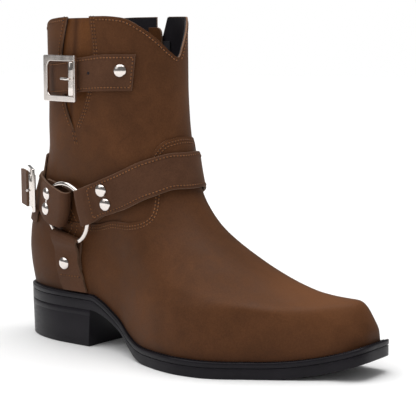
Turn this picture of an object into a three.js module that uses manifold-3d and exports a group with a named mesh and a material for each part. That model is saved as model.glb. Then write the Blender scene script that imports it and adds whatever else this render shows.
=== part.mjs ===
// Ankle boot with a harness: stacked heel, welted sole, hollow leather upper,
// side gusset, zip, buckled straps and a steel ring. Right foot, millimetres.
// +X toward the toe, +Y toward the inner side of the foot, +Z up.
// The origin is the centre of the heel's tread, on the floor.
import * as THREE from 'three';
import Module from 'manifold-3d';

const wasm = await Module();
wasm.setup();

// Driving dimensions
const LENGTH = 310;
const BALL_WIDTH = 107;
const HEEL_LENGTH = 84;
const HEEL_HEIGHT = 29;
const TOE_SPRING = 13;
const SOLE_THICKNESS = 8;
const WELT_THICKNESS = 4;
const WELT_LEDGE = 4;
const INSOLE_THICKNESS = 3;
const WALL = 2.3;
const OVERLAY = 1.3;
const SHAFT_HEIGHT = 252;
const SHAFT_WIDTH = 79;
const GAP = 0.3;
const STRAP_THICKNESS = 2.2;
const RING_DIAMETER = 50;
const RING_WIRE = 4;
const BUCKLE_LENGTH = 37;
const BUCKLE_HEIGHT = 34.5;
const BUCKLE_BAR = 4.4;
const BUCKLE_THICKNESS = 2.4;
const ROLLER_DIAMETER = 6;
const PRONG_WIRE = 2.2;
const RIVET_DIAMETER = 10;
const RIVET_HEIGHT = 2.8;
const RIVET_RIM = 0.4;
const RIVET_SEAT = 0.9;
const ZIP_PLACE = 101;
const ZIP_SLOT = 7;
const ZIP_TAPE = 27;
const TEETH_WIDTH = 5.2;
const TAPE_THICKNESS = 0.9;
const GUSSET_THICKNESS = 1.5;
const PULL_LENGTH = 21;

// Sampling of the faceted solids
const AROUND = 72;
const MIDFOOT_DENSITY = 0.35;

// Outline of the sole: shares of LENGTH, and of BALL_WIDTH for swing and half
const SOLE_OUTLINE = [
  { along: 0.000, swing: 0.000, half: 0.262 },
  { along: 0.164, swing: 0.000, half: 0.286 },
  { along: 0.272, swing: 0.000, half: 0.290 },
  { along: 0.370, swing: -0.030, half: 0.292 },
  { along: 0.420, swing: -0.055, half: 0.325 },
  { along: 0.460, swing: -0.068, half: 0.367 },
  { along: 0.508, swing: -0.075, half: 0.415 },
  { along: 0.557, swing: -0.072, half: 0.460 },
  { along: 0.616, swing: -0.061, half: 0.493 },
  { along: 0.666, swing: -0.042, half: 0.500 },
  { along: 0.715, swing: -0.019, half: 0.472 },
  { along: 0.769, swing: 0.019, half: 0.411 },
  { along: 0.823, swing: 0.059, half: 0.355 },
  { along: 0.882, swing: 0.103, half: 0.292 },
  { along: 0.936, swing: 0.145, half: 0.237 },
  { along: 1.000, swing: 0.172, half: 0.212 },
];
const HEEL_CURVE = { share: 0.18, round: 2.1 };
const TOE_CURVE = { share: 0.052, round: 3.8 };

// Underside of the sole: rise is a share of HEEL_HEIGHT, spring of TOE_SPRING
const SOLE_PROFILE = [
  { along: 0.000, rise: 1.00, spring: 0.00, body: 1.00 },
  { along: 0.272, rise: 1.00, spring: 0.00, body: 0.95 },
  { along: 0.311, rise: 0.92, spring: 0.00, body: 0.72 },
  { along: 0.351, rise: 0.75, spring: 0.00, body: 0.50 },
  { along: 0.390, rise: 0.50, spring: 0.00, body: 0.45 },
  { along: 0.429, rise: 0.23, spring: 0.00, body: 0.65 },
  { along: 0.464, rise: 0.06, spring: 0.00, body: 0.90 },
  { along: 0.498, rise: 0.00, spring: 0.00, body: 1.00 },
  { along: 0.784, rise: 0.00, spring: 0.00, body: 1.00 },
  { along: 0.843, rise: 0.00, spring: 0.07, body: 1.00 },
  { along: 0.902, rise: 0.00, spring: 0.28, body: 1.00 },
  { along: 0.951, rise: 0.00, spring: 0.58, body: 1.00 },
  { along: 1.000, rise: 0.00, spring: 1.00, body: 1.00 },
];

// Sections of the upper, from the sole's seam to the collar. back and front are shares
// of LENGTH, backUp and frontUp of SHAFT_HEIGHT; sag is how far the section follows the
// sole, full its width against the sole's, cap and round its closing over the foot,
// and shaft how far it has become the shaft's oval.
const SECTIONS = [
  { back: 0.010, backUp: 0.163, front: 0.985, frontUp: 0.100, sag: 1.00, full: 1.00, cap: 0.065, round: 2.8, shaft: 0.00 },
  { back: 0.004, backUp: 0.198, front: 0.985, frontUp: 0.128, sag: 0.97, full: 1.03, cap: 0.080, round: 2.6, shaft: 0.00 },
  { back: -0.002, backUp: 0.240, front: 0.976, frontUp: 0.170, sag: 0.90, full: 1.04, cap: 0.105, round: 2.3, shaft: 0.02 },
  { back: -0.005, backUp: 0.284, front: 0.952, frontUp: 0.221, sag: 0.75, full: 1.02, cap: 0.165, round: 2.1, shaft: 0.06 },
  { back: -0.002, backUp: 0.334, front: 0.881, frontUp: 0.236, sag: 0.56, full: 0.97, cap: 0.250, round: 2.0, shaft: 0.13 },
  { back: 0.010, backUp: 0.386, front: 0.794, frontUp: 0.265, sag: 0.37, full: 0.94, cap: 0.330, round: 2.0, shaft: 0.24 },
  { back: 0.030, backUp: 0.444, front: 0.690, frontUp: 0.316, sag: 0.20, full: 0.93, cap: 0.350, round: 2.0, shaft: 0.40 },
  { back: 0.055, backUp: 0.508, front: 0.588, frontUp: 0.389, sag: 0.08, full: 0.95, cap: 0.340, round: 2.0, shaft: 0.60 },
  { back: 0.075, backUp: 0.575, front: 0.525, frontUp: 0.484, sag: 0.02, full: 1.00, cap: 0.300, round: 2.0, shaft: 0.80 },
  { back: 0.087, backUp: 0.647, front: 0.500, frontUp: 0.592, sag: 0.00, full: 1.00, cap: 0.260, round: 2.0, shaft: 0.94 },
  { back: 0.092, backUp: 0.726, front: 0.486, frontUp: 0.698, sag: 0.00, full: 1.00, cap: 0.240, round: 2.0, shaft: 1.00 },
  { back: 0.092, backUp: 0.813, front: 0.482, frontUp: 0.805, sag: 0.00, full: 1.00, cap: 0.230, round: 2.0, shaft: 1.00 },
  { back: 0.090, backUp: 0.905, front: 0.482, frontUp: 0.905, sag: 0.00, full: 1.00, cap: 0.230, round: 2.0, shaft: 1.00 },
  { back: 0.090, backUp: 1.010, front: 0.482, frontUp: 1.010, sag: 0.00, full: 1.00, cap: 0.230, round: 2.0, shaft: 1.00 },
];
const HEEL_CAP = { share: 0.21, round: 2.1 };
const SHAFT_ROUND = 2.15;

// Edges that run round the upper: turn 0 is the back, 0.25 outside, 0.5 front, 0.75 inside
const COLLAR = [
  { turn: 0.00, up: 0.962 },
  { turn: 0.08, up: 0.975 },
  { turn: 0.15, up: 0.995 },
  { turn: 0.22, up: 1.000 },
  { turn: 0.30, up: 1.000 },
  { turn: 0.343, up: 0.995 },
  { turn: 0.389, up: 0.968 },
  { turn: 0.44, up: 0.924 },
  { turn: 0.47, up: 0.896 },
  { turn: 0.50, up: 0.879 },
  { turn: 0.52, up: 0.912 },
  { turn: 0.54, up: 0.944 },
  { turn: 0.57, up: 0.984 },
  { turn: 0.60, up: 0.998 },
  { turn: 0.70, up: 1.000 },
  { turn: 0.78, up: 1.000 },
  { turn: 0.85, up: 0.995 },
  { turn: 0.92, up: 0.975 },
];
const OVERLAY_EDGE = [
  { turn: 0.00, section: 5.20 },
  { turn: 0.10, section: 5.15 },
  { turn: 0.20, section: 5.60 },
  { turn: 0.26, section: 6.42 },
  { turn: 0.30, section: 6.69 },
  { turn: 0.35, section: 7.15 },
  { turn: 0.385, section: 7.90 },
  { turn: 0.405, section: 9.05 },
  { turn: 0.45, section: 9.48 },
  { turn: 0.50, section: 9.55 },
  { turn: 0.55, section: 9.48 },
  { turn: 0.595, section: 9.05 },
  { turn: 0.615, section: 7.90 },
  { turn: 0.65, section: 7.15 },
  { turn: 0.70, section: 6.69 },
  { turn: 0.74, section: 6.42 },
  { turn: 0.80, section: 5.60 },
  { turn: 0.90, section: 5.15 },
];

// The gusset's opening in the outer side of the shaft, from its point to the collar
const GUSSET = [
  { section: 9.45, from: 0.217, to: 0.220 },
  { section: 10.40, from: 0.191, to: 0.252 },
  { section: 11.70, from: 0.184, to: 0.276 },
  { section: 13.00, from: 0.210, to: 0.268 },
];
// Where the zip's slot starts, where its slider stands and where the slot has opened
const ZIP = { foot: 2.6, slider: 12.1, spread: 12.35, flare: 11 };
// The tab inside the top of the zip: sections, reach and thickness
const GUARD = { foot: 11.85, top: 12.6, back: 9, front: 5.5, thickness: 1.8 };

// Straps lie on the upper between a low and a high edge. rest is how far the underside
// stands off the upper and body how thick the strap is there, both in strap thicknesses.
const TOP_STRAP = [
  { lowTurn: 0.368, low: 10.78, highTurn: 0.378, high: 11.84, rest: 0.20, body: 1.0 },
  { lowTurn: 0.312, low: 10.76, highTurn: 0.313, high: 11.84, rest: 0.20, body: 1.0 },
  { lowTurn: 0.253, low: 10.70, highTurn: 0.255, high: 11.75, rest: 0.20, body: 1.0 },
  { lowTurn: 0.180, low: 10.56, highTurn: 0.182, high: 11.62, rest: 0.20, body: 1.0 },
  { lowTurn: 0.100, low: 10.50, highTurn: 0.100, high: 11.56, rest: 0.20, body: 1.0 },
  { lowTurn: 0.000, low: 10.48, highTurn: 0.000, high: 11.54, rest: 0.20, body: 1.0 },
  { lowTurn: -0.100, low: 10.50, highTurn: -0.100, high: 11.56, rest: 0.20, body: 1.0 },
  { lowTurn: -0.180, low: 10.56, highTurn: -0.180, high: 11.62, rest: 0.20, body: 1.0 },
  { lowTurn: -0.240, low: 10.66, highTurn: -0.240, high: 11.70, rest: 0.20, body: 1.0 },
];
const INSTEP_STRAP = [
  { lowTurn: 0.203, low: 5.66, highTurn: 0.222, high: 7.42, rest: 0.75, body: 4.50 },
  { lowTurn: 0.228, low: 6.10, highTurn: 0.244, high: 7.66, rest: 0.75, body: 4.20 },
  { lowTurn: 0.251, low: 6.54, highTurn: 0.266, high: 7.89, rest: 0.75, body: 2.30 },
  { lowTurn: 0.276, low: 6.84, highTurn: 0.293, high: 8.16, rest: 0.75, body: 2.05 },
  { lowTurn: 0.306, low: 7.16, highTurn: 0.324, high: 8.43, rest: 1.05, body: 1.00 },
  { lowTurn: 0.378, low: 7.78, highTurn: 0.384, high: 8.85, rest: 1.30, body: 1.00 },
  { lowTurn: 0.452, low: 8.10, highTurn: 0.457, high: 9.07, rest: 1.46, body: 1.00 },
  { lowTurn: 0.535, low: 8.10, highTurn: 0.530, high: 9.07, rest: 1.46, body: 1.00 },
  { lowTurn: 0.610, low: 7.80, highTurn: 0.602, high: 8.85, rest: 1.30, body: 1.00 },
  { lowTurn: 0.668, low: 7.30, highTurn: 0.652, high: 8.50, rest: 1.05, body: 1.00 },
  { lowTurn: 0.708, low: 6.80, highTurn: 0.690, high: 8.10, rest: 0.75, body: 1.00 },
];
const HEEL_STRAP = [
  { lowTurn: 0.165, low: 5.20, highTurn: 0.202, high: 7.19, rest: 0.75, body: 4.80 },
  { lowTurn: 0.150, low: 5.14, highTurn: 0.178, high: 7.26, rest: 0.75, body: 4.60 },
  { lowTurn: 0.134, low: 5.25, highTurn: 0.152, high: 7.27, rest: 0.75, body: 3.80 },
  { lowTurn: 0.115, low: 5.46, highTurn: 0.125, high: 7.24, rest: 0.80, body: 2.50 },
  { lowTurn: 0.088, low: 5.58, highTurn: 0.092, high: 7.16, rest: 1.10, body: 1.10 },
  { lowTurn: 0.040, low: 5.58, highTurn: 0.040, high: 7.12, rest: 1.12, body: 0.90 },
  { lowTurn: -0.040, low: 5.52, highTurn: -0.040, high: 7.12, rest: 0.60, body: 0.90 },
  { lowTurn: -0.100, low: 5.30, highTurn: -0.104, high: 7.05, rest: 0.75, body: 1.00 },
  { lowTurn: -0.150, low: 5.00, highTurn: -0.160, high: 6.85, rest: 0.75, body: 1.00 },
  { lowTurn: -0.185, low: 4.80, highTurn: -0.196, high: 6.70, rest: 0.75, body: 1.00 },
];
const LOWER_STRAP = [
  { lowTurn: 0.146, low: 4.81, highTurn: 0.181, high: 4.43, rest: 0.75, body: 4.20 },
  { lowTurn: 0.143, low: 4.20, highTurn: 0.177, high: 3.95, rest: 0.75, body: 3.90 },
  { lowTurn: 0.139, low: 3.20, highTurn: 0.171, high: 3.20, rest: 0.75, body: 2.20 },
  { lowTurn: 0.137, low: 2.30, highTurn: 0.168, high: 2.45, rest: 0.75, body: 1.90 },
  { lowTurn: 0.135, low: 1.20, highTurn: 0.168, high: 1.20, rest: 0.75, body: 1.00 },
  { lowTurn: 0.138, low: 0.20, highTurn: 0.169, high: 0.20, rest: 0.75, body: 1.00 },
];
const KEEPER = [
  { lowTurn: 0.032, low: 8.05, highTurn: 0.078, high: 8.05, rest: 0.27, body: 0.65 },
  { lowTurn: 0.032, low: 7.00, highTurn: 0.084, high: 7.00, rest: 0.27, body: 0.65 },
  { lowTurn: 0.032, low: 5.90, highTurn: 0.088, high: 5.90, rest: 0.27, body: 0.65 },
  { lowTurn: 0.032, low: 5.50, highTurn: 0.088, high: 5.50, rest: 0.34, body: 0.65 },
  { lowTurn: 0.032, low: 5.22, highTurn: 0.088, high: 5.22, rest: 0.92, body: 0.65 },
  { lowTurn: 0.032, low: 4.60, highTurn: 0.086, high: 4.60, rest: 0.78, body: 0.65 },
];

// A smooth curve through the rows of a table, without overshoot between level rows
function curve(rows, key, column, at) {
  const last = rows.length - 1;
  let i = 0;
  while (i < last - 1 && rows[i + 1][key] <= at) i += 1;
  const slope = (k) => {
    if (k <= 0) return (rows[1][column] - rows[0][column]) / (rows[1][key] - rows[0][key]);
    if (k >= last) {
      return (rows[last][column] - rows[last - 1][column]) / (rows[last][key] - rows[last - 1][key]);
    }
    const a = (rows[k][column] - rows[k - 1][column]) / (rows[k][key] - rows[k - 1][key]);
    const b = (rows[k + 1][column] - rows[k][column]) / (rows[k + 1][key] - rows[k][key]);
    return a * b <= 0 ? 0 : (2 * a * b) / (a + b);
  };
  const span = rows[i + 1][key] - rows[i][key];
  const f = Math.min(Math.max((at - rows[i][key]) / span, 0), 1);
  const f2 = f * f;
  const f3 = f2 * f;
  return (2 * f3 - 3 * f2 + 1) * rows[i][column] + (f3 - 2 * f2 + f) * span * slope(i)
    + (3 * f2 - 2 * f3) * rows[i + 1][column] + (f3 - f2) * span * slope(i + 1);
}

// The same for a table that closes on itself after one turn
function roundCurve(rows, column, turn) {
  const at = turn - Math.floor(turn);
  const first = rows[0];
  const end = rows[rows.length - 1];
  const closed = [{ ...end, turn: end.turn - 1 }, ...rows, { ...first, turn: first.turn + 1 }];
  closed.push({ ...rows[1], turn: rows[1].turn + 1 });
  return curve(closed, 'turn', column, at);
}

// How far a rounded end has opened at a share of its own length
function opening(share, round) {
  const f = Math.min(Math.max(share, 0), 1);
  return (1 - (1 - f) ** round) ** (1 / round);
}

function soleUnder(x) {
  const at = Math.min(Math.max(x / LENGTH, 0), 1);
  return curve(SOLE_PROFILE, 'along', 'rise', at) * HEEL_HEIGHT
    + curve(SOLE_PROFILE, 'along', 'spring', at) * TOE_SPRING;
}
function soleOver(x) {
  return soleUnder(x) + curve(SOLE_PROFILE, 'along', 'body', Math.min(x / LENGTH, 1)) * SOLE_THICKNESS;
}
const weltTop = (x) => soleOver(x) + WELT_THICKNESS;
const soleSwing = (x) => curve(SOLE_OUTLINE, 'along', 'swing', x / LENGTH) * BALL_WIDTH;
const soleHalf = (x) => curve(SOLE_OUTLINE, 'along', 'half', x / LENGTH) * BALL_WIDTH;

// A point of the sole's outline, drawn in by a ledge; turn 0 is the back, 0.5 the toe
function outline(turn, inset) {
  const share = (1 - Math.cos(2 * Math.PI * turn)) / 2;
  const x = LENGTH * share + inset * ((1 - share) ** 8 - share ** 8);
  const heel = opening((x - inset) / (HEEL_CURVE.share * LENGTH), HEEL_CURVE.round);
  const toe = opening((LENGTH - inset - x) / (TOE_CURVE.share * LENGTH), TOE_CURVE.round);
  const half = Math.max(soleHalf(x) - inset, 0) * heel * toe;
  const side = Math.sin(2 * Math.PI * turn) >= 0 ? -1 : 1;
  return { x, y: soleSwing(x) + side * half };
}

const numbered = (rows) => rows.map((row, index) => ({ ...row, index }));
const SECTIONS_INDEXED = numbered(SECTIONS);

// The shared surface of the upper: a turn round it and a section number give a point
function upperPoint(turn, section) {
  const value = (column) => curve(SECTIONS_INDEXED, 'index', column, section);
  const theta = 2 * Math.PI * turn;
  const share = (1 - Math.cos(theta)) / 2;
  const back = value('back') * LENGTH;
  const front = value('front') * LENGTH;
  const x = back + (front - back) * share;
  const shaft = value('shaft');
  const heel = opening((x - back) / (HEEL_CAP.share * LENGTH), HEEL_CAP.round);
  const toe = opening((front - x) / (value('cap') * LENGTH), value('round'));
  const footHalf = (soleHalf(x) - WELT_LEDGE) * value('full') * heel * toe;
  const shaftHalf = SHAFT_WIDTH / 2 * (1 - Math.abs(2 * share - 1) ** SHAFT_ROUND) ** (1 / SHAFT_ROUND);
  const half = footHalf + (shaftHalf - footHalf) * shaft;
  const side = Math.sin(theta) >= 0 ? -1 : 1;
  const backUp = value('backUp') * SHAFT_HEIGHT;
  const frontUp = value('frontUp') * SHAFT_HEIGHT;
  const seam = SECTIONS[0];
  const seamBack = seam.back * LENGTH;
  const seamShare = (x - seamBack) / (seam.front * LENGTH - seamBack);
  const seamChord = SHAFT_HEIGHT * (seam.backUp + (seam.frontUp - seam.backUp) * seamShare);
  const sag = value('sag') * (weltTop(x) + GAP - seamChord);
  return new THREE.Vector3(x, soleSwing(x) * (1 - shaft) + side * half, backUp + (frontUp - backUp) * share + sag);
}

function upperNormal(turn, section) {
  const step = 0.004;
  const top = SECTIONS.length - 1;
  const low = Math.max(section - 0.05, 0);
  const high = Math.min(section + 0.05, top);
  const round = upperPoint(turn + step, section).sub(upperPoint(turn - step, section));
  const rise = upperPoint(turn, high).sub(upperPoint(turn, low));
  return round.cross(rise).normalize();
}
function raised(turn, section, lift) {
  return upperPoint(turn, section).addScaledVector(upperNormal(turn, section), lift);
}

// The section at which the upper reaches a height
function sectionAt(turn, height) {
  let low = 0;
  let high = SECTIONS.length - 1;
  for (let i = 0; i < 24; i += 1) {
    const middle = (low + high) / 2;
    if (upperPoint(turn, middle).z < height) low = middle;
    else high = middle;
  }
  return (low + high) / 2;
}
const collarSection = (turn) => sectionAt(turn, roundCurve(COLLAR, 'up', turn) * SHAFT_HEIGHT);
const overlaySection = (turn) => roundCurve(OVERLAY_EDGE, 'section', turn);

// Closed bodies from loops of points
function geometryOf(points, given) {
  const volume = given.reduce((sum, [a, b, c]) => {
    const cross = new THREE.Vector3().crossVectors(points[b], points[c]);
    return sum + points[a].dot(cross);
  }, 0);
  const faces = volume < 0 ? given.map(([a, b, c]) => [a, c, b]) : given;
  const geometry = new THREE.BufferGeometry();
  geometry.setAttribute('position', new THREE.Float32BufferAttribute(points.flatMap((p) => [p.x, p.y, p.z]), 3));
  geometry.setIndex(faces.flat());
  return geometry;
}
// Loops are joined in order; the first and last are joined too, or closed by a strip
function loft(loops, ring) {
  const count = loops[0].length;
  const faces = [];
  const joints = ring ? loops.length : loops.length - 1;
  for (let j = 0; j < joints; j += 1) {
    const a = j * count;
    const b = ((j + 1) % loops.length) * count;
    for (let i = 0; i < count; i += 1) {
      const n = (i + 1) % count;
      faces.push([a + i, a + n, b + n], [a + i, b + n, b + i]);
    }
  }
  if (!ring) {
    const top = (loops.length - 1) * count;
    for (let i = 0; i < count / 2 - 1; i += 1) {
      const m = count - 1 - i;
      const strip = [[i, i + 1, m - 1], [i, m - 1, m]];
      for (const [p, q, r] of strip) {
        if (q !== r && p !== r) {
          faces.push([r, q, p], [top + p, top + q, top + r]);
        }
      }
    }
  }
  return geometryOf(loops.flat(), faces);
}
function solidOf(geometry) {
  const index = geometry.index.array;
  const vertProperties = new Float32Array(geometry.attributes.position.array);
  return new wasm.Manifold(new wasm.Mesh({ numProp: 3, vertProperties, triVerts: new Uint32Array(index) }));
}
function geometryFrom(solid) {
  const mesh = solid.getMesh();
  const geometry = new THREE.BufferGeometry();
  const points = [];
  for (let i = 0; i < mesh.vertProperties.length; i += mesh.numProp) {
    points.push(mesh.vertProperties[i], mesh.vertProperties[i + 1], mesh.vertProperties[i + 2]);
  }
  geometry.setAttribute('position', new THREE.Float32BufferAttribute(points, 3));
  geometry.setIndex([...mesh.triVerts]);
  return geometry;
}

// Materials
const finish = {
  leather: { color: 0x5a3c2a, roughness: 0.6, metalness: 0 },
  strap: { color: 0x4f382b, roughness: 0.6, metalness: 0 },
  sole: { color: 0x26242a, roughness: 0.45, metalness: 0 },
  insole: { color: 0x2a2624, roughness: 0.9, metalness: 0 },
  steel: { color: 0xd8d2cc, roughness: 0.2, metalness: 1 },
  tape: { color: 0x1b191c, roughness: 0.9, metalness: 0 },
};
const boot = new THREE.Group();
boot.position.x = -HEEL_LENGTH / 2;
function add(name, geometry, look) {
  geometry.computeVertexNormals();
  const mesh = new THREE.Mesh(geometry, new THREE.MeshStandardMaterial(finish[look]));
  mesh.name = name;
  boot.add(mesh);
  return mesh;
}
// Turns round the foot, closer together at the shank where the sole bends most
const turns = Array.from({ length: AROUND }, (_, i) => {
  const even = (i + 0.5) / AROUND;
  return even + MIDFOOT_DENSITY * Math.sin(4 * Math.PI * even) / (4 * Math.PI);
});

// Sole, welt, heel and insole
const SOLE_INSET = 0.2;
const TREAD_EDGE = 1.2;
const WELT_STRIP = 13;
const WELT_EDGE = 0.8;
const INSOLE_ROOM = 2;
const HEEL_EDGE = 0.8;
const HEEL_LEAN = 2.5;
function plateLoop(inset, height) {
  return turns.map((turn) => {
    const p = outline(turn, inset);
    return new THREE.Vector3(p.x, p.y, height(p.x));
  });
}
const soleTop = (x) => soleOver(x) - GAP;
add('outsole', loft([
  plateLoop(TREAD_EDGE, soleUnder),
  plateLoop(SOLE_INSET, (x) => soleUnder(x) + TREAD_EDGE),
  plateLoop(SOLE_INSET, soleTop),
], false), 'sole');
add('welt', loft([
  plateLoop(WELT_STRIP, soleOver),
  plateLoop(0, soleOver),
  plateLoop(0, (x) => weltTop(x) - WELT_EDGE),
  plateLoop(WELT_EDGE, weltTop),
  plateLoop(WELT_STRIP, weltTop),
], true), 'sole');
const insoleInset = WELT_LEDGE + WALL + INSOLE_ROOM;
add('insole', loft([
  plateLoop(insoleInset, (x) => weltTop(x) + GAP),
  plateLoop(insoleInset, (x) => weltTop(x) + GAP + INSOLE_THICKNESS),
], false), 'insole');

function heelLoop(inset, z, breast) {
  return turns.map((turn) => {
    const share = (1 - Math.cos(2 * Math.PI * turn)) / 2;
    const x = inset + (breast - inset) * share;
    const open = opening((x - inset) / (HEEL_CURVE.share * LENGTH), HEEL_CURVE.round);
    const side = turn < 0.5 ? -1 : 1;
    return new THREE.Vector3(x, side * (soleHalf(x) - inset) * open, z);
  });
}
add('heel', loft([
  heelLoop(2 * HEEL_EDGE, 0, HEEL_LENGTH - HEEL_LEAN),
  heelLoop(HEEL_EDGE, HEEL_EDGE, HEEL_LENGTH - HEEL_LEAN),
  heelLoop(SOLE_INSET, HEEL_HEIGHT - GAP, HEEL_LENGTH),
], false), 'sole');

// Upper: one hollow wall, its vamp and counter a step proud of the shaft
function upperGeometry() {
  const loops = [];
  const FOOT_ROWS = 7;
  const EDGE_ROWS = 6;
  const SHAFT_ROWS = 7;
  const INNER_ROWS = 10;
  const LEVEL = 5;
  for (let j = 0; j <= FOOT_ROWS + EDGE_ROWS; j += 1) {
    loops.push(turns.map((turn) => {
      const rest = (overlaySection(turn) - LEVEL) * (j - FOOT_ROWS) / EDGE_ROWS;
      const section = j <= FOOT_ROWS ? LEVEL * j / FOOT_ROWS : LEVEL + rest;
      const p = raised(turn, section, OVERLAY);
      if (j === 0) p.z = weltTop(p.x) + GAP;
      return p;
    }));
  }
  for (let j = 0; j <= SHAFT_ROWS; j += 1) {
    loops.push(turns.map((turn) => {
      const edge = overlaySection(turn);
      return raised(turn, edge + (collarSection(turn) - edge) * j / SHAFT_ROWS, 0);
    }));
  }
  for (let j = INNER_ROWS; j >= 0; j -= 1) {
    loops.push(turns.map((turn) => {
      const p = raised(turn, collarSection(turn) * j / INNER_ROWS, -WALL);
      if (j === 0) p.z = weltTop(p.x) + GAP;
      return p;
    }));
  }
  return loft(loops, true);
}

// Turn on one side of the upper at which a section reaches a place along the foot
function turnAt(section, place, inner) {
  let low = 0;
  let high = 0.5;
  for (let i = 0; i < 24; i += 1) {
    const middle = (low + high) / 2;
    if (upperPoint(middle, section).x < place) low = middle;
    else high = middle;
  }
  return inner ? 1 - (low + high) / 2 : (low + high) / 2;
}
// A body that follows the upper: edges(f) gives two edges and two lifts at a share of its length
function wrap(edges, shares, across) {
  const loops = shares.map((f) => {
    const e = edges(f);
    const at = (w, lift) => raised(
      e.lowTurn + (e.highTurn - e.lowTurn) * w,
      Math.min(e.low + (e.high - e.low) * w, SECTIONS.length - 1),
      lift,
    );
    const under = [];
    const over = [];
    for (let i = 0; i <= across; i += 1) {
      under.push(at(i / across, e.under));
      over.unshift(at(i / across, e.over));
    }
    return [...under, ...over];
  });
  return loft(loops, false);
}
const spread = (count) => Array.from({ length: count + 1 }, (_, i) => i / count);

// Gusset: a wedge of leather behind a V cut in the shaft
const gussetTable = (column, section) => curve(GUSSET, 'section', column, section);
const GUSSET_FOOT = GUSSET[0].section;
function gussetBand(margin, from, under, over, top) {
  return wrap((f) => {
    const section = from + (top - from) * f;
    const lowTurn = gussetTable('from', section) - margin;
    const highTurn = gussetTable('to', section) + margin;
    return { lowTurn, highTurn, low: section, high: section, under, over };
  }, spread(10), 4);
}
const TOP = SECTIONS.length - 1;
const CUT = 3;
const gussetCut = gussetBand(0, GUSSET_FOOT, -WALL - CUT, OVERLAY + CUT, TOP);
const BEHIND = -WALL - GAP;
const GUSSET_SEAM = 0.018;
const gussetTop = collarSection(0.24) - 0.06;
add('gusset', gussetBand(GUSSET_SEAM, GUSSET_FOOT - 0.3, BEHIND - GUSSET_THICKNESS, BEHIND, gussetTop), 'leather');

// Zip: a slot up the inner side, its tape behind it and its teeth in it
function zipBand(front, back, from, to, under, over, count) {
  return wrap((f) => {
    const section = from + (to - from) * f;
    return {
      lowTurn: turnAt(section, ZIP_PLACE + front(section), true),
      highTurn: turnAt(section, ZIP_PLACE - back(section), true),
      low: section,
      high: section,
      under,
      over,
    };
  }, spread(count), 3);
}
const slotBack = () => ZIP_SLOT / 2;
const slotFront = (section) => ZIP_SLOT / 2 + ZIP.flare * Math.max(section - ZIP.spread, 0);
const tapeHalf = () => ZIP_TAPE / 2;
const teethHalf = () => TEETH_WIDTH / 2;
const zipCut = zipBand(slotFront, slotBack, ZIP.foot, TOP, -WALL - CUT, OVERLAY + CUT, 12);
const tapeTop = ZIP.slider + 0.1;
const tapeFoot = ZIP.foot - 0.25;
add('zip_tape', zipBand(tapeHalf, tapeHalf, tapeFoot, tapeTop, BEHIND - TAPE_THICKNESS, BEHIND, 14), 'tape');
add('zip_teeth', zipBand(teethHalf, teethHalf, ZIP.foot + 0.1, tapeTop, -WALL, -0.4, 14), 'tape');
const guardOver = BEHIND - TAPE_THICKNESS - GAP;
const guardCorner = (f) => Math.sqrt(Math.max(1 - (2 * f - 1) ** 4, 0.02));
add('zip_guard', wrap((f) => {
  const section = GUARD.foot + (GUARD.top - GUARD.foot) * f;
  return {
    lowTurn: turnAt(section, ZIP_PLACE - GUARD.back, true),
    highTurn: turnAt(section, ZIP_PLACE + GUARD.front * guardCorner(f), true),
    low: section,
    high: section,
    under: guardOver - GUARD.thickness,
    over: guardOver,
  };
}, spread(6), 5), 'leather');

const upperSolid = solidOf(upperGeometry());
add('upper', geometryFrom(upperSolid.subtract(solidOf(gussetCut)).subtract(solidOf(zipCut))), 'leather');

// A frame on the upper: x along the turn, y up the section, z outward
function stand(turn, section, lift) {
  const out = upperNormal(turn, section);
  const along = upperPoint(turn + 0.004, section).sub(upperPoint(turn - 0.004, section)).normalize();
  const up = new THREE.Vector3().crossVectors(out, along).normalize();
  along.crossVectors(up, out);
  return new THREE.Matrix4().makeBasis(along, up, out).setPosition(raised(turn, section, lift));
}
function addAt(name, geometry, look, matrix) {
  return add(name, geometry.applyMatrix4(matrix), look);
}

// Harness ring, lying against the ankle, with a fold of strap round it on three sides
const RING_AT = { turn: 0.185, section: 6.09 };
const RING_LIFT = 6.5;
const RING_TILT = -0.03;
const RING_SHIFT = -2;
const ringPlace = stand(RING_AT.turn, RING_AT.section, RING_LIFT)
  .multiply(new THREE.Matrix4().makeTranslation(RING_SHIFT, 0, 0))
  .multiply(new THREE.Matrix4().makeRotationX(RING_TILT));
const ringRadius = (RING_DIAMETER - RING_WIRE) / 2;
const RING_STEPS = 28;
const RING_ROOM = 2 * GAP + 0.6;
const torus = (wire) => new THREE.TorusGeometry(ringRadius, wire / 2, 8, RING_STEPS);
function mergedSolid(geometry) {
  const position = geometry.attributes.position;
  const seen = new Map();
  const points = [];
  const rename = [];
  for (let i = 0; i < position.count; i += 1) {
    const p = new THREE.Vector3().fromBufferAttribute(position, i);
    const key = p.toArray().map((v) => Math.round(v * 1e4)).join();
    if (!seen.has(key)) {
      seen.set(key, points.length);
      points.push(p);
    }
    rename.push(seen.get(key));
  }
  const faces = [];
  const index = geometry.index ? [...geometry.index.array] : rename.map((_, i) => i);
  for (let i = 0; i < index.length; i += 3) {
    const face = [rename[index[i]], rename[index[i + 1]], rename[index[i + 2]]];
    if (new Set(face).size === 3) faces.push(face);
  }
  return geometryOf(points, faces);
}
addAt('harness_ring', mergedSolid(torus(RING_WIRE)), 'steel', ringPlace);
const ringRoom = solidOf(mergedSolid(torus(RING_WIRE + RING_ROOM)).applyMatrix4(ringPlace));

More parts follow.
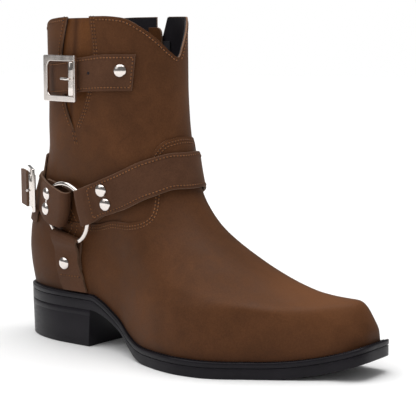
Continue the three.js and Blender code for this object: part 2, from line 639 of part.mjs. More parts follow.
// Straps
function strapGeometry(rows, count, fold) {
  const indexed = numbered(rows);
  const edges = (f) => {
    const value = (column) => curve(indexed, 'index', column, f * (rows.length - 1));
    const under = value('rest') * STRAP_THICKNESS;
    const over = under + value('body') * STRAP_THICKNESS;
    const bend = fold > 0 ? Math.min(f / fold, 1) : 1;
    const open = Math.sqrt(Math.max(1 - (1 - bend) ** 2, 0.06));
    const middle = (under + over) / 2;
    const half = (over - under) / 2 * open;
    return {
      lowTurn: value('lowTurn'),
      low: value('low'),
      highTurn: value('highTurn'),
      high: value('high'),
      under: middle - half,
      over: middle + half,
    };
  };
  const shares = spread(count);
  if (fold > 0) shares.splice(1, 0, fold * 0.12, fold * 0.4, fold * 0.8);
  shares.sort((a, b) => a - b);
  return wrap(edges, shares, 2);
}
const folded = (rows, count, fold) => geometryFrom(solidOf(strapGeometry(rows, count, fold)).subtract(ringRoom));
add('top_strap', strapGeometry(TOP_STRAP, 28, 0), 'strap');
add('instep_strap', folded(INSTEP_STRAP, 30, 0.045), 'strap');
add('heel_strap', folded(HEEL_STRAP, 26, 0.05), 'strap');
add('lower_strap', folded(LOWER_STRAP, 12, 0.1), 'strap');
add('back_keeper', strapGeometry(KEEPER, 14, 0), 'strap');

// Rivets: low domes on a strap, at a share of its length and of its width
function rivet(name, rows, along, across) {
  const radius = RIVET_DIAMETER / 2;
  const profile = [new THREE.Vector2(0, 0), new THREE.Vector2(radius, 0)];
  for (let i = 0; i <= 3; i += 1) {
    const a = i / 3 * Math.PI / 2;
    const up = RIVET_RIM + (RIVET_HEIGHT - RIVET_RIM) * Math.sin(a);
    profile.push(new THREE.Vector2(radius * Math.cos(a), up));
  }
  profile[profile.length - 1].x = 0;
  const dome = new THREE.LatheGeometry(profile, 12).rotateX(Math.PI / 2);
  const indexed = numbered(rows);
  const value = (column) => curve(indexed, 'index', column, along * (rows.length - 1));
  const turn = value('lowTurn') + (value('highTurn') - value('lowTurn')) * across;
  const section = value('low') + (value('high') - value('low')) * across;
  const top = (value('rest') + value('body')) * STRAP_THICKNESS;
  addAt(name, mergedSolid(dome), 'steel', stand(turn, section, top + RIVET_SEAT));
}
rivet('rivet_top', TOP_STRAP, 0.061, 0.55);
rivet('rivet_instep_upper', INSTEP_STRAP, 0.265, 0.72);
rivet('rivet_instep_lower', INSTEP_STRAP, 0.275, 0.32);
rivet('rivet_heel_upper', HEEL_STRAP, 0.200, 0.76);
rivet('rivet_heel_lower', HEEL_STRAP, 0.205, 0.36);
rivet('rivet_lower', LOWER_STRAP, 0.60, 0.42);

// Buckles: a frame of three bars, a roller as the fourth and a prong resting on it
const BUCKLE_CORNER = 5;
const ROLLER_RISE = 0.4;
const PRONG = { reach: 12, root: 3, bend: 8, bendUp: 4.4, rise: 3.5, tip: 1 };
function buckle(name, place) {
  const halfL = BUCKLE_LENGTH / 2;
  const halfH = BUCKLE_HEIGHT / 2;
  const left = -halfL + BUCKLE_BAR;
  const high = halfH - BUCKLE_BAR;
  const frameOutline = new THREE.Shape();
  frameOutline.moveTo(-halfL, -halfH);
  frameOutline.lineTo(halfL, -halfH);
  frameOutline.lineTo(halfL, -high);
  frameOutline.lineTo(left + BUCKLE_CORNER, -high);
  frameOutline.absarc(left + BUCKLE_CORNER, BUCKLE_CORNER - high, BUCKLE_CORNER, Math.PI * 1.5, Math.PI, true);
  frameOutline.lineTo(left, high - BUCKLE_CORNER);
  frameOutline.absarc(left + BUCKLE_CORNER, high - BUCKLE_CORNER, BUCKLE_CORNER, Math.PI, Math.PI / 2, true);
  frameOutline.lineTo(halfL, high);
  frameOutline.lineTo(halfL, halfH);
  frameOutline.lineTo(-halfL, halfH);
  frameOutline.closePath();
  const depth = BUCKLE_THICKNESS;
  const frame = new THREE.ExtrudeGeometry(frameOutline, { depth, bevelEnabled: false, curveSegments: 4 });
  addAt(`${name}_frame`, mergedSolid(frame), 'steel', place);
  const rollerRadius = ROLLER_DIAMETER / 2;
  const rollerX = halfL - rollerRadius;
  const rollerUp = depth / 2 + ROLLER_RISE;
  const roller = new THREE.CylinderGeometry(rollerRadius, rollerRadius, 2 * (high - GAP), 16);
  roller.translate(rollerX, 0, rollerUp);
  addAt(`${name}_roller`, mergedSolid(roller), 'steel', place);
  const crest = rollerUp + rollerRadius + GAP + PRONG_WIRE / 2;
  const path = new THREE.CatmullRomCurve3([
    new THREE.Vector3(rollerX - PRONG.reach, 0, PRONG.root),
    new THREE.Vector3(rollerX - PRONG.bend, 0, PRONG.bendUp),
    new THREE.Vector3(rollerX - PRONG.rise, 0, crest),
    new THREE.Vector3(rollerX + PRONG.tip, 0, crest),
  ]);
  const ring = new THREE.Shape();
  ring.absarc(0, 0, PRONG_WIRE / 2, 0, Math.PI * 2, false);
  const sweep = { steps: 6, extrudePath: path, curveSegments: 2, bevelEnabled: false };
  const prong = new THREE.ExtrudeGeometry(ring, sweep);
  addAt(`${name}_prong`, mergedSolid(prong), 'steel', place);
}
const topBuckle = stand(0.21, 11.09, 4.2).multiply(new THREE.Matrix4().makeTranslation(-3.5, 0, 0));
buckle('top_buckle', topBuckle);

// The heel buckle stands upright with its roller against the strap behind the ankle
const HEEL_BUCKLE = { turn: 0.095, section: 6.47, lift: 8.8, outX: -0.64, outY: -0.77 };
const heelOut = new THREE.Vector3(HEEL_BUCKLE.outX, HEEL_BUCKLE.outY, 0).normalize();
const heelUp = new THREE.Vector3(0, 0, 1);
const heelAlong = new THREE.Vector3().crossVectors(heelUp, heelOut);
const heelBuckle = new THREE.Matrix4().makeBasis(heelAlong, heelUp, heelOut)
  .setPosition(raised(HEEL_BUCKLE.turn, HEEL_BUCKLE.section, HEEL_BUCKLE.lift))
  .multiply(new THREE.Matrix4().makeTranslation((ROLLER_DIAMETER - BUCKLE_LENGTH) / 2, 0, 0));
buckle('heel_buckle', heelBuckle);

// The free end of the heel strap, out through the buckle
const TIP_MARGIN = 3;
const TIP_PATH = [
  { along: 0.03, up: 1.30 },
  { along: -0.15, up: 1.45 },
  { along: -0.40, up: 1.80 },
  { along: -0.62, up: 2.15 },
];
function tipGeometry(place) {
  const half = BUCKLE_HEIGHT / 2 - TIP_MARGIN;
  const loops = TIP_PATH.map(({ along, up }) => {
    const x = along * BUCKLE_LENGTH;
    const z = up * BUCKLE_THICKNESS;
    return [
      new THREE.Vector3(x, -half, z),
      new THREE.Vector3(x, half, z),
      new THREE.Vector3(x, half, z + STRAP_THICKNESS),
      new THREE.Vector3(x, -half, z + STRAP_THICKNESS),
    ];
  });
  return loft(loops, false).applyMatrix4(place);
}
add('heel_strap_tip', tipGeometry(heelBuckle), 'strap');

// Zip slider with its bridge, and the pull that hangs from the bridge
const zipPlace = stand(turnAt(ZIP.slider, ZIP_PLACE, true), ZIP.slider, GAP);
const SLIDER = { width: 9, length: 13, plate: 1.4 };
const BRIDGE = { width: 2.4, half: 2.7, leg: 0.9, height: 3.1, root: 0.4 };
const PULL = {
  bar: 0.7, arm: 1.2, thickness: 1.2, width: 6.2, play: 0.4, end: 0.6, window: 4.2, shoulder: 7, corner: 2,
};
function sliderGeometry() {
  const plate = new THREE.Shape();
  const w = SLIDER.width / 2;
  const l = SLIDER.length / 2;
  plate.moveTo(-w * 0.55, -l);
  plate.lineTo(w * 0.55, -l);
  plate.lineTo(w, l * 0.2);
  plate.lineTo(w * 0.8, l);
  plate.lineTo(-w * 0.8, l);
  plate.lineTo(-w, l * 0.2);
  plate.closePath();
  const base = new THREE.ExtrudeGeometry(plate, { depth: SLIDER.plate, bevelEnabled: false });
  const side = new THREE.Shape();
  side.moveTo(-BRIDGE.half, -BRIDGE.root);
  side.lineTo(-BRIDGE.half, BRIDGE.height);
  side.lineTo(BRIDGE.half, BRIDGE.height);
  side.lineTo(BRIDGE.half, -BRIDGE.root);
  side.lineTo(BRIDGE.half - BRIDGE.leg, -BRIDGE.root);
  side.lineTo(BRIDGE.half - BRIDGE.leg, BRIDGE.height - BRIDGE.leg);
  side.lineTo(-BRIDGE.half + BRIDGE.leg, BRIDGE.height - BRIDGE.leg);
  side.lineTo(-BRIDGE.half + BRIDGE.leg, -BRIDGE.root);
  side.closePath();
  const arch = new THREE.ExtrudeGeometry(side, { depth: BRIDGE.width, bevelEnabled: false });
  arch.translate(0, 0, -BRIDGE.width / 2);
  arch.rotateX(Math.PI / 2).rotateZ(Math.PI / 2).translate(0, 0, SLIDER.plate);
  return geometryFrom(solidOf(mergedSolid(base)).add(solidOf(mergedSolid(arch))));
}
addAt('zip_slider', sliderGeometry(), 'steel', zipPlace);
const pullAxis = SLIDER.plate + GAP + PULL.bar;
function pullGeometry() {
  const armX = BRIDGE.width / 2 + PULL.play;
  const bar = new THREE.CylinderGeometry(PULL.bar, PULL.bar, 2 * armX + PULL.arm, 10).rotateZ(Math.PI / 2);
  const shape = new THREE.Shape();
  const half = PULL.width / 2;
  shape.moveTo(-armX - PULL.arm, PULL.end);
  shape.lineTo(-armX, PULL.end);
  shape.lineTo(-armX, -PULL.window);
  shape.lineTo(armX, -PULL.window);
  shape.lineTo(armX, PULL.end);
  shape.lineTo(armX + PULL.arm, PULL.end);
  shape.lineTo(half, -PULL.shoulder);
  shape.lineTo(half, -PULL_LENGTH + PULL.corner);
  shape.lineTo(half - PULL.corner, -PULL_LENGTH);
  shape.lineTo(-half + PULL.corner, -PULL_LENGTH);
  shape.lineTo(-half, -PULL_LENGTH + PULL.corner);
  shape.lineTo(-half, -PULL.shoulder);
  shape.closePath();
  const plate = new THREE.ExtrudeGeometry(shape, { depth: PULL.thickness, bevelEnabled: false });
  plate.translate(0, 0, -PULL.thickness / 2);
  return geometryFrom(solidOf(mergedSolid(bar)).add(solidOf(mergedSolid(plate))));
}
addAt('zip_pull', pullGeometry().translate(0, 0, pullAxis), 'steel', zipPlace);

export default boot;
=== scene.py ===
"""Looks of an ankle boot with a ring harness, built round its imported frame.

Everything is in metres in the frame's own axes: +X toward the toe, +Y toward the inner
side of the foot, +Z up, with the origin at the centre of the heel's tread.
"""

import math

import bmesh
import bpy
import numpy as np
from mathutils import Matrix, Vector


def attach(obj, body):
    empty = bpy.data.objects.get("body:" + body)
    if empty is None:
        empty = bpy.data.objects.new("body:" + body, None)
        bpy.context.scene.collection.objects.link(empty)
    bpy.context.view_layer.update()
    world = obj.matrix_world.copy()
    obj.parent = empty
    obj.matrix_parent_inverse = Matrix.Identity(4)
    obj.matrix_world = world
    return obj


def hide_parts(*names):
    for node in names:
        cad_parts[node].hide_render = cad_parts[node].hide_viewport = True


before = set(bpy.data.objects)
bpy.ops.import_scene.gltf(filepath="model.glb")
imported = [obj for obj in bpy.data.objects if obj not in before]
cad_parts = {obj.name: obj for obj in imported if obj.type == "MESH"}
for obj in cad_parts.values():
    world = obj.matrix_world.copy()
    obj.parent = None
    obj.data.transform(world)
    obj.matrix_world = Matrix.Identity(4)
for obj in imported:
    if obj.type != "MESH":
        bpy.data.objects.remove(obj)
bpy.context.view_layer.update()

bl_info = {
    "name": "Harness ankle boot",
    "version": (1, 0, 0),
    "blender": (4, 5, 0),
    "location": "View3D > Sidebar > Boot",
    "description": "Builds a leather ankle boot with a ring harness around its frame",
    "category": "Add Mesh",
}

MM = 0.001
BODY = "boot"


def table(names, *rows):
    """A short table as a list of rows with named columns."""
    return [dict(zip(names.split(), row)) for row in rows]


# Outline of the sole: shares of the length, and of the ball's width for swing and half
SOLE_OUTLINE = table(
    "along swing half",
    (0.000, 0.000, 0.262),
    (0.164, 0.000, 0.286),
    (0.272, 0.000, 0.290),
    (0.370, -0.030, 0.292),
    (0.420, -0.055, 0.325),
    (0.460, -0.068, 0.367),
    (0.508, -0.075, 0.415),
    (0.557, -0.072, 0.460),
    (0.616, -0.061, 0.493),
    (0.666, -0.042, 0.500),
    (0.715, -0.019, 0.472),
    (0.769, 0.019, 0.411),
    (0.823, 0.059, 0.355),
    (0.882, 0.103, 0.292),
    (0.936, 0.145, 0.237),
    (1.000, 0.172, 0.212),
)
HEEL_CURVE = {"share": 0.18, "round": 2.1}
TOE_CURVE = {"share": 0.052, "round": 3.8}

# Underside of the sole: shares of the heel's height, the toe spring and the sole's thickness
SOLE_PROFILE = table(
    "along rise spring body",
    (0.000, 1.00, 0.00, 1.00),
    (0.272, 1.00, 0.00, 0.95),
    (0.311, 0.92, 0.00, 0.72),
    (0.351, 0.75, 0.00, 0.50),
    (0.390, 0.50, 0.00, 0.45),
    (0.429, 0.23, 0.00, 0.65),
    (0.464, 0.06, 0.00, 0.90),
    (0.498, 0.00, 0.00, 1.00),
    (0.784, 0.00, 0.00, 1.00),
    (0.843, 0.00, 0.07, 1.00),
    (0.902, 0.00, 0.28, 1.00),
    (0.951, 0.00, 0.58, 1.00),
    (1.000, 0.00, 1.00, 1.00),
)

# Sections of the upper from the sole's seam to the collar
SECTIONS = table(
    "index back backUp front frontUp sag full cap round shaft",
    (0, 0.010, 0.163, 0.985, 0.100, 1.00, 1.00, 0.065, 2.8, 0.00),
    (1, 0.004, 0.198, 0.985, 0.128, 0.97, 1.03, 0.080, 2.6, 0.00),
    (2, -0.002, 0.240, 0.976, 0.170, 0.90, 1.04, 0.105, 2.3, 0.02),
    (3, -0.005, 0.284, 0.952, 0.221, 0.75, 1.02, 0.165, 2.1, 0.06),
    (4, -0.002, 0.334, 0.881, 0.236, 0.56, 0.97, 0.250, 2.0, 0.13),
    (5, 0.010, 0.386, 0.794, 0.265, 0.37, 0.94, 0.330, 2.0, 0.24),
    (6, 0.030, 0.444, 0.690, 0.316, 0.20, 0.93, 0.350, 2.0, 0.40),
    (7, 0.055, 0.508, 0.588, 0.389, 0.08, 0.95, 0.340, 2.0, 0.60),
    (8, 0.075, 0.575, 0.525, 0.484, 0.02, 1.00, 0.300, 2.0, 0.80),
    (9, 0.087, 0.647, 0.500, 0.592, 0.00, 1.00, 0.260, 2.0, 0.94),
    (10, 0.092, 0.726, 0.486, 0.698, 0.00, 1.00, 0.240, 2.0, 1.00),
    (11, 0.092, 0.813, 0.482, 0.805, 0.00, 1.00, 0.230, 2.0, 1.00),
    (12, 0.090, 0.905, 0.482, 0.905, 0.00, 1.00, 0.230, 2.0, 1.00),
    (13, 0.090, 1.010, 0.482, 1.010, 0.00, 1.00, 0.230, 2.0, 1.00),
)
HEEL_CAP = {"share": 0.21, "round": 2.1}
SHAFT_ROUND = 2.15
TOP_SECTION = 13.0

# Edges that run round the upper: turn 0 is the back, 0.25 outside, 0.5 front, 0.75 inside
COLLAR = table(
    "turn up",
    (0.00, 0.962),
    (0.08, 0.975),
    (0.15, 0.995),
    (0.22, 1.000),
    (0.30, 1.000),
    (0.343, 0.995),
    (0.389, 0.968),
    (0.44, 0.924),
    (0.47, 0.896),
    (0.50, 0.879),
    (0.52, 0.912),
    (0.54, 0.944),
    (0.57, 0.984),
    (0.60, 0.998),
    (0.70, 1.000),
    (0.78, 1.000),
    (0.85, 0.995),
    (0.92, 0.975),
)
OVERLAY_EDGE = table(
    "turn section",
    (0.00, 5.20),
    (0.10, 5.15),
    (0.20, 5.60),
    (0.26, 6.42),
    (0.30, 6.69),
    (0.35, 7.15),
    (0.385, 7.90),
    (0.40, 9.00),
    (0.45, 9.45),
    (0.50, 9.52),
    (0.55, 9.45),
    (0.60, 9.00),
    (0.615, 7.90),
    (0.65, 7.15),
    (0.70, 6.69),
    (0.74, 6.42),
    (0.80, 5.60),
    (0.90, 5.15),
)
GUSSET = table(
    "section start end",
    (9.45, 0.217, 0.220),
    (10.40, 0.191, 0.252),
    (11.70, 0.184, 0.276),
    (13.00, 0.210, 0.268),
)

# Straps: rest and body are in strap thicknesses, as how far the strap stands off and how thick it is
STRAP = "index lowTurn low highTurn high rest body"
TOP_STRAP = table(
    STRAP,
    (0, 0.368, 10.78, 0.378, 11.84, 0.20, 1.0),
    (1, 0.312, 10.76, 0.313, 11.84, 0.20, 1.0),
    (2, 0.253, 10.70, 0.255, 11.75, 0.20, 1.0),
    (3, 0.180, 10.56, 0.182, 11.62, 0.20, 1.0),
    (4, 0.100, 10.50, 0.100, 11.56, 0.20, 1.0),
    (5, 0.000, 10.48, 0.000, 11.54, 0.20, 1.0),
    (6, -0.100, 10.50, -0.100, 11.56, 0.20, 1.0),
    (7, -0.180, 10.56, -0.180, 11.62, 0.20, 1.0),
    (8, -0.240, 10.66, -0.240, 11.70, 0.20, 1.0),
)
INSTEP_STRAP = table(
    STRAP,
    (0, 0.203, 5.66, 0.222, 7.42, 0.75, 4.50),
    (1, 0.228, 6.10, 0.244, 7.66, 0.75, 4.20),
    (2, 0.251, 6.54, 0.266, 7.89, 0.75, 2.30),
    (3, 0.276, 6.84, 0.293, 8.16, 0.75, 2.05),
    (4, 0.306, 7.16, 0.324, 8.43, 1.05, 1.00),
    (5, 0.378, 7.78, 0.384, 8.85, 1.20, 1.00),
    (6, 0.452, 8.10, 0.457, 9.07, 1.20, 1.00),
    (7, 0.535, 8.10, 0.530, 9.07, 1.20, 1.00),
    (8, 0.610, 7.80, 0.602, 8.85, 1.20, 1.00),
    (9, 0.668, 7.30, 0.652, 8.50, 1.05, 1.00),
    (10, 0.708, 6.80, 0.690, 8.10, 0.75, 1.00),
)
HEEL_STRAP = table(
    STRAP,
    (0, 0.165, 5.20, 0.202, 7.19, 0.75, 4.80),
    (1, 0.150, 5.14, 0.178, 7.26, 0.75, 4.60),
    (2, 0.134, 5.25, 0.152, 7.27, 0.75, 3.80),
    (3, 0.115, 5.46, 0.125, 7.24, 0.80, 2.50),
    (4, 0.088, 5.58, 0.092, 7.16, 1.10, 1.10),
    (5, 0.040, 5.58, 0.040, 7.12, 1.12, 0.90),
    (6, -0.040, 5.52, -0.040, 7.12, 0.60, 0.90),
    (7, -0.100, 5.30, -0.104, 7.05, 0.75, 1.00),
    (8, -0.150, 5.00, -0.160, 6.85, 0.75, 1.00),
    (9, -0.185, 4.80, -0.196, 6.70, 0.75, 1.00),
)
LOWER_STRAP = table(
    STRAP,
    (0, 0.146, 4.81, 0.181, 4.43, 0.75, 4.20),
    (1, 0.143, 4.20, 0.177, 3.95, 0.75, 3.90),
    (2, 0.139, 3.20, 0.171, 3.20, 0.75, 2.20),
    (3, 0.137, 2.30, 0.168, 2.45, 0.75, 1.90),
    (4, 0.135, 1.20, 0.168, 1.20, 0.75, 1.00),
    (5, 0.138, 0.20, 0.169, 0.20, 0.75, 1.00),
)
KEEPER = table(
    STRAP,
    (0, 0.032, 8.05, 0.078, 8.05, 0.27, 0.65),
    (1, 0.032, 7.00, 0.084, 7.00, 0.27, 0.65),
    (2, 0.032, 5.90, 0.088, 5.90, 0.27, 0.65),
    (3, 0.032, 5.50, 0.088, 5.50, 0.34, 0.65),
    (4, 0.032, 5.22, 0.088, 5.22, 0.92, 0.65),
    (5, 0.032, 4.60, 0.086, 4.60, 0.78, 0.65),
)


class BootSizes(bpy.types.PropertyGroup):
    """The boot's driving dimensions."""

    length: bpy.props.FloatProperty(
        name="Length", description="Length of the outsole", default=0.310, unit="LENGTH"
    )
    ball_width: bpy.props.FloatProperty(
        name="Ball width", description="Width of the outsole at the ball", default=0.107, unit="LENGTH"
    )
    heel_length: bpy.props.FloatProperty(
        name="Heel length", description="Length of the heel", default=0.084, unit="LENGTH"
    )
    heel_height: bpy.props.FloatProperty(
        name="Heel height", description="Height of the heel block", default=0.029, unit="LENGTH"
    )
    toe_spring: bpy.props.FloatProperty(
        name="Toe spring", description="Lift of the sole at the toe", default=0.013, unit="LENGTH"
    )
    sole_thickness: bpy.props.FloatProperty(
        name="Sole thickness", description="Thickness of the outsole", default=0.008, unit="LENGTH"
    )
    welt_thickness: bpy.props.FloatProperty(
        name="Welt thickness", description="Thickness of the welt", default=0.004, unit="LENGTH"
    )
    welt_ledge: bpy.props.FloatProperty(
        name="Welt ledge", description="How far the welt stands out from the upper", default=0.004, unit="LENGTH"
    )
    shaft_height: bpy.props.FloatProperty(
        name="Shaft height", description="Height of the collar", default=0.252, unit="LENGTH"
    )
    shaft_width: bpy.props.FloatProperty(
        name="Shaft width", description="Width of the shaft", default=0.079, unit="LENGTH"
    )
    wall: bpy.props.FloatProperty(
        name="Wall", description="Leather and lining of the shaft together", default=0.0023, unit="LENGTH"
    )
    overlay: bpy.props.FloatProperty(
        name="Overlay", description="Thickness of the vamp over the shaft", default=0.0013, unit="LENGTH"
    )
    strap_thickness: bpy.props.FloatProperty(
        name="Strap thickness", description="Thickness of the straps", default=0.0022, unit="LENGTH"
    )
    ring_diameter: bpy.props.FloatProperty(
        name="Ring diameter", description="Outer diameter of the ring", default=0.050, unit="LENGTH"
    )
    ring_wire: bpy.props.FloatProperty(
        name="Ring wire", description="Diameter of the ring's wire", default=0.004, unit="LENGTH"
    )
    zip_place: bpy.props.FloatProperty(
        name="Zip place", description="Distance of the zip from the heel's back", default=0.101, unit="LENGTH"
    )
    stitch_pitch: bpy.props.FloatProperty(
        name="Stitch pitch", description="Distance from stitch to stitch", default=0.0027, unit="LENGTH"
    )


class BootColours(bpy.types.PropertyGroup):
    """The boot's colours, linear."""

    leather: bpy.props.FloatVectorProperty(
        name="Leather", description="Upper leather", subtype="COLOR", size=3, default=(0.090, 0.0348, 0.0130)
    )
    gusset: bpy.props.FloatVectorProperty(
        name="Gusset", description="Softer leather of the gusset", subtype="COLOR", size=3, default=(0.112, 0.041, 0.0125)
    )
    strap: bpy.props.FloatVectorProperty(
        name="Strap", description="Strap leather", subtype="COLOR", size=3, default=(0.093, 0.0410, 0.0212)
    )
    edge: bpy.props.FloatVectorProperty(
        name="Cut edge", description="Raw cut edges of the leather", subtype="COLOR", size=3, default=(0.20, 0.105, 0.058)
    )
    thread: bpy.props.FloatVectorProperty(
        name="Thread", description="Stitching thread", subtype="COLOR", size=3, default=(0.205, 0.088, 0.036)
    )
    sole: bpy.props.FloatVectorProperty(
        name="Sole", description="Sole, welt and heel", subtype="COLOR", size=3, default=(0.0074, 0.0062, 0.0086)
    )
    lining: bpy.props.FloatVectorProperty(
        name="Lining", description="Lining, insole and zip", subtype="COLOR", size=3, default=(0.0115, 0.0100, 0.0125)
    )
    steel: bpy.props.FloatVectorProperty(
        name="Steel", description="Buckles, ring and rivets", subtype="COLOR", size=3, default=(0.80, 0.735, 0.69)
    )


def sizes():
    return bpy.context.scene.boot_sizes


def colours():
    return bpy.context.scene.boot_colours


def curve(rows, key, column, at):
    """A smooth curve through a table's rows, without overshoot between level rows."""
    keys = np.array([row[key] for row in rows], dtype=float)
    values = np.array([row[column] for row in rows], dtype=float)
    steps = np.diff(values) / np.diff(keys)
    a, b = steps[:-1], steps[1:]
    total = np.where(np.abs(a + b) < 1e-12, 1.0, a + b)
    inner = np.where(a * b <= 0, 0.0, 2 * a * b / total)
    slopes = np.concatenate([steps[:1], inner, steps[-1:]])
    at = np.asarray(at, dtype=float)
    i = np.clip(np.searchsorted(keys, at, side="right") - 1, 0, len(keys) - 2)
    span = keys[i + 1] - keys[i]
    f = np.clip((at - keys[i]) / span, 0, 1)
    f2, f3 = f * f, f * f * f
    return (
        (2 * f3 - 3 * f2 + 1) * values[i]
        + (f3 - 2 * f2 + f) * span * slopes[i]
        + (3 * f2 - 2 * f3) * values[i + 1]
        + (f3 - f2) * span * slopes[i + 1]
    )


def round_curve(rows, column, turn):
    """The same for a table that closes on itself after one turn."""
    first, second, last = rows[0], rows[1], rows[-1]
    closed = [{**last, "turn": last["turn"] - 1}, *rows]
    closed += [{**first, "turn": first["turn"] + 1}, {**second, "turn": second["turn"] + 1}]
    return curve(closed, "turn", column, np.mod(turn, 1.0))


def opening(share, rounding):
    """How far a rounded end has opened at a share of its own length."""
    f = np.clip(share, 0, 1)
    return (1 - (1 - f) ** rounding) ** (1 / rounding)


def sole_under(x):
    at = np.clip(x / sizes().length, 0, 1)
    rise = curve(SOLE_PROFILE, "along", "rise", at) * sizes().heel_height
    return rise + curve(SOLE_PROFILE, "along", "spring", at) * sizes().toe_spring


def sole_over(x):
    at = np.clip(x / sizes().length, 0, 1)
    return sole_under(x) + curve(SOLE_PROFILE, "along", "body", at) * sizes().sole_thickness


def welt_top(x):
    return sole_over(x) + sizes().welt_thickness


def sole_swing(x):
    return curve(SOLE_OUTLINE, "along", "swing", x / sizes().length) * sizes().ball_width


def sole_half(x):
    return curve(SOLE_OUTLINE, "along", "half", x / sizes().length) * sizes().ball_width


def from_heel(x, y, z):
    """Points with x counted from the heel's back, in the frame's own axes."""
    x, y, z = np.broadcast_arrays(x - sizes().heel_length / 2, y, z)
    return np.stack([x, y, z], axis=-1)


def outline(turn, inset, reach=1.0):
    """The sole's outline drawn in by a ledge; reach draws it toward its middle line."""
    length = sizes().length
    share = (1 - np.cos(2 * math.pi * turn)) / 2
    x = length * share + inset * ((1 - share) ** 8 - share**8)
    heel = opening((x - inset) / (HEEL_CURVE["share"] * length), HEEL_CURVE["round"])
    toe = opening((length - inset - x) / (TOE_CURVE["share"] * length), TOE_CURVE["round"])
    half = np.maximum(sole_half(x) - inset, 0) * heel * toe * reach
    side = np.where(np.sin(2 * math.pi * turn) >= 0, -1, 1)
    return x, sole_swing(x) + side * half


def upper_point(turn, section):
    """The shared surface of the upper, without its creases."""
    length, height, width = sizes().length, sizes().shaft_height, sizes().shaft_width

    def value(column):
        return curve(SECTIONS, "index", column, section)

    theta = 2 * math.pi * turn
    share = (1 - np.cos(theta)) / 2
    back, front = value("back") * length, value("front") * length
    x = back + (front - back) * share
    shaft = value("shaft")
    heel = opening((x - back) / (HEEL_CAP["share"] * length), HEEL_CAP["round"])
    toe = opening((front - x) / (value("cap") * length), value("round"))
    foot_half = (sole_half(x) - sizes().welt_ledge) * value("full") * heel * toe
    oval = np.clip(1 - np.abs(2 * share - 1) ** SHAFT_ROUND, 0, 1) ** (1 / SHAFT_ROUND)
    half = foot_half + (width / 2 * oval - foot_half) * shaft
    side = np.where(np.sin(theta) >= 0, -1, 1)
    back_up, front_up = value("backUp") * height, value("frontUp") * height
    seam = SECTIONS[0]
    seam_share = (x / length - seam["back"]) / (seam["front"] - seam["back"])
    chord = height * (seam["backUp"] + (seam["frontUp"] - seam["backUp"]) * seam_share)
    sag = value("sag") * (welt_top(x) + SEAM_GAP - chord)
    return from_heel(x, sole_swing(x) * (1 - shaft) + side * half, back_up + (front_up - back_up) * share + sag)


SEAM_GAP = 0.3 * MM
SKIN_TURNS = 480
SKIN_ROWS = 261
SKIN_SMOOTHING = 14
# Soft troughs and ridges of the worn leather: bow in sections, width and height in mm
CREASES = table(
    "fromTurn fromSection toTurn toSection bow width height",
    (0.27, 7.1, 0.40, 8.2, 0.15, 9, -0.9),
    (0.24, 8.2, 0.38, 9.3, 0.20, 10, 0.7),
    (0.26, 9.0, 0.36, 9.6, 0.10, 9, -0.5),
    (0.30, 5.3, 0.44, 6.7, -0.30, 10, -0.8),
    (0.28, 4.2, 0.43, 5.3, -0.30, 11, -0.7),
    (0.28, 2.9, 0.40, 4.3, -0.30, 12, 0.6),
    (0.60, 5.4, 0.68, 4.4, 0.10, 10, -0.7),
    (0.03, 8.4, 0.16, 8.9, -0.20, 9, -0.6),
    (0.05, 9.4, 0.15, 9.6, 0.10, 10, 0.4),
)


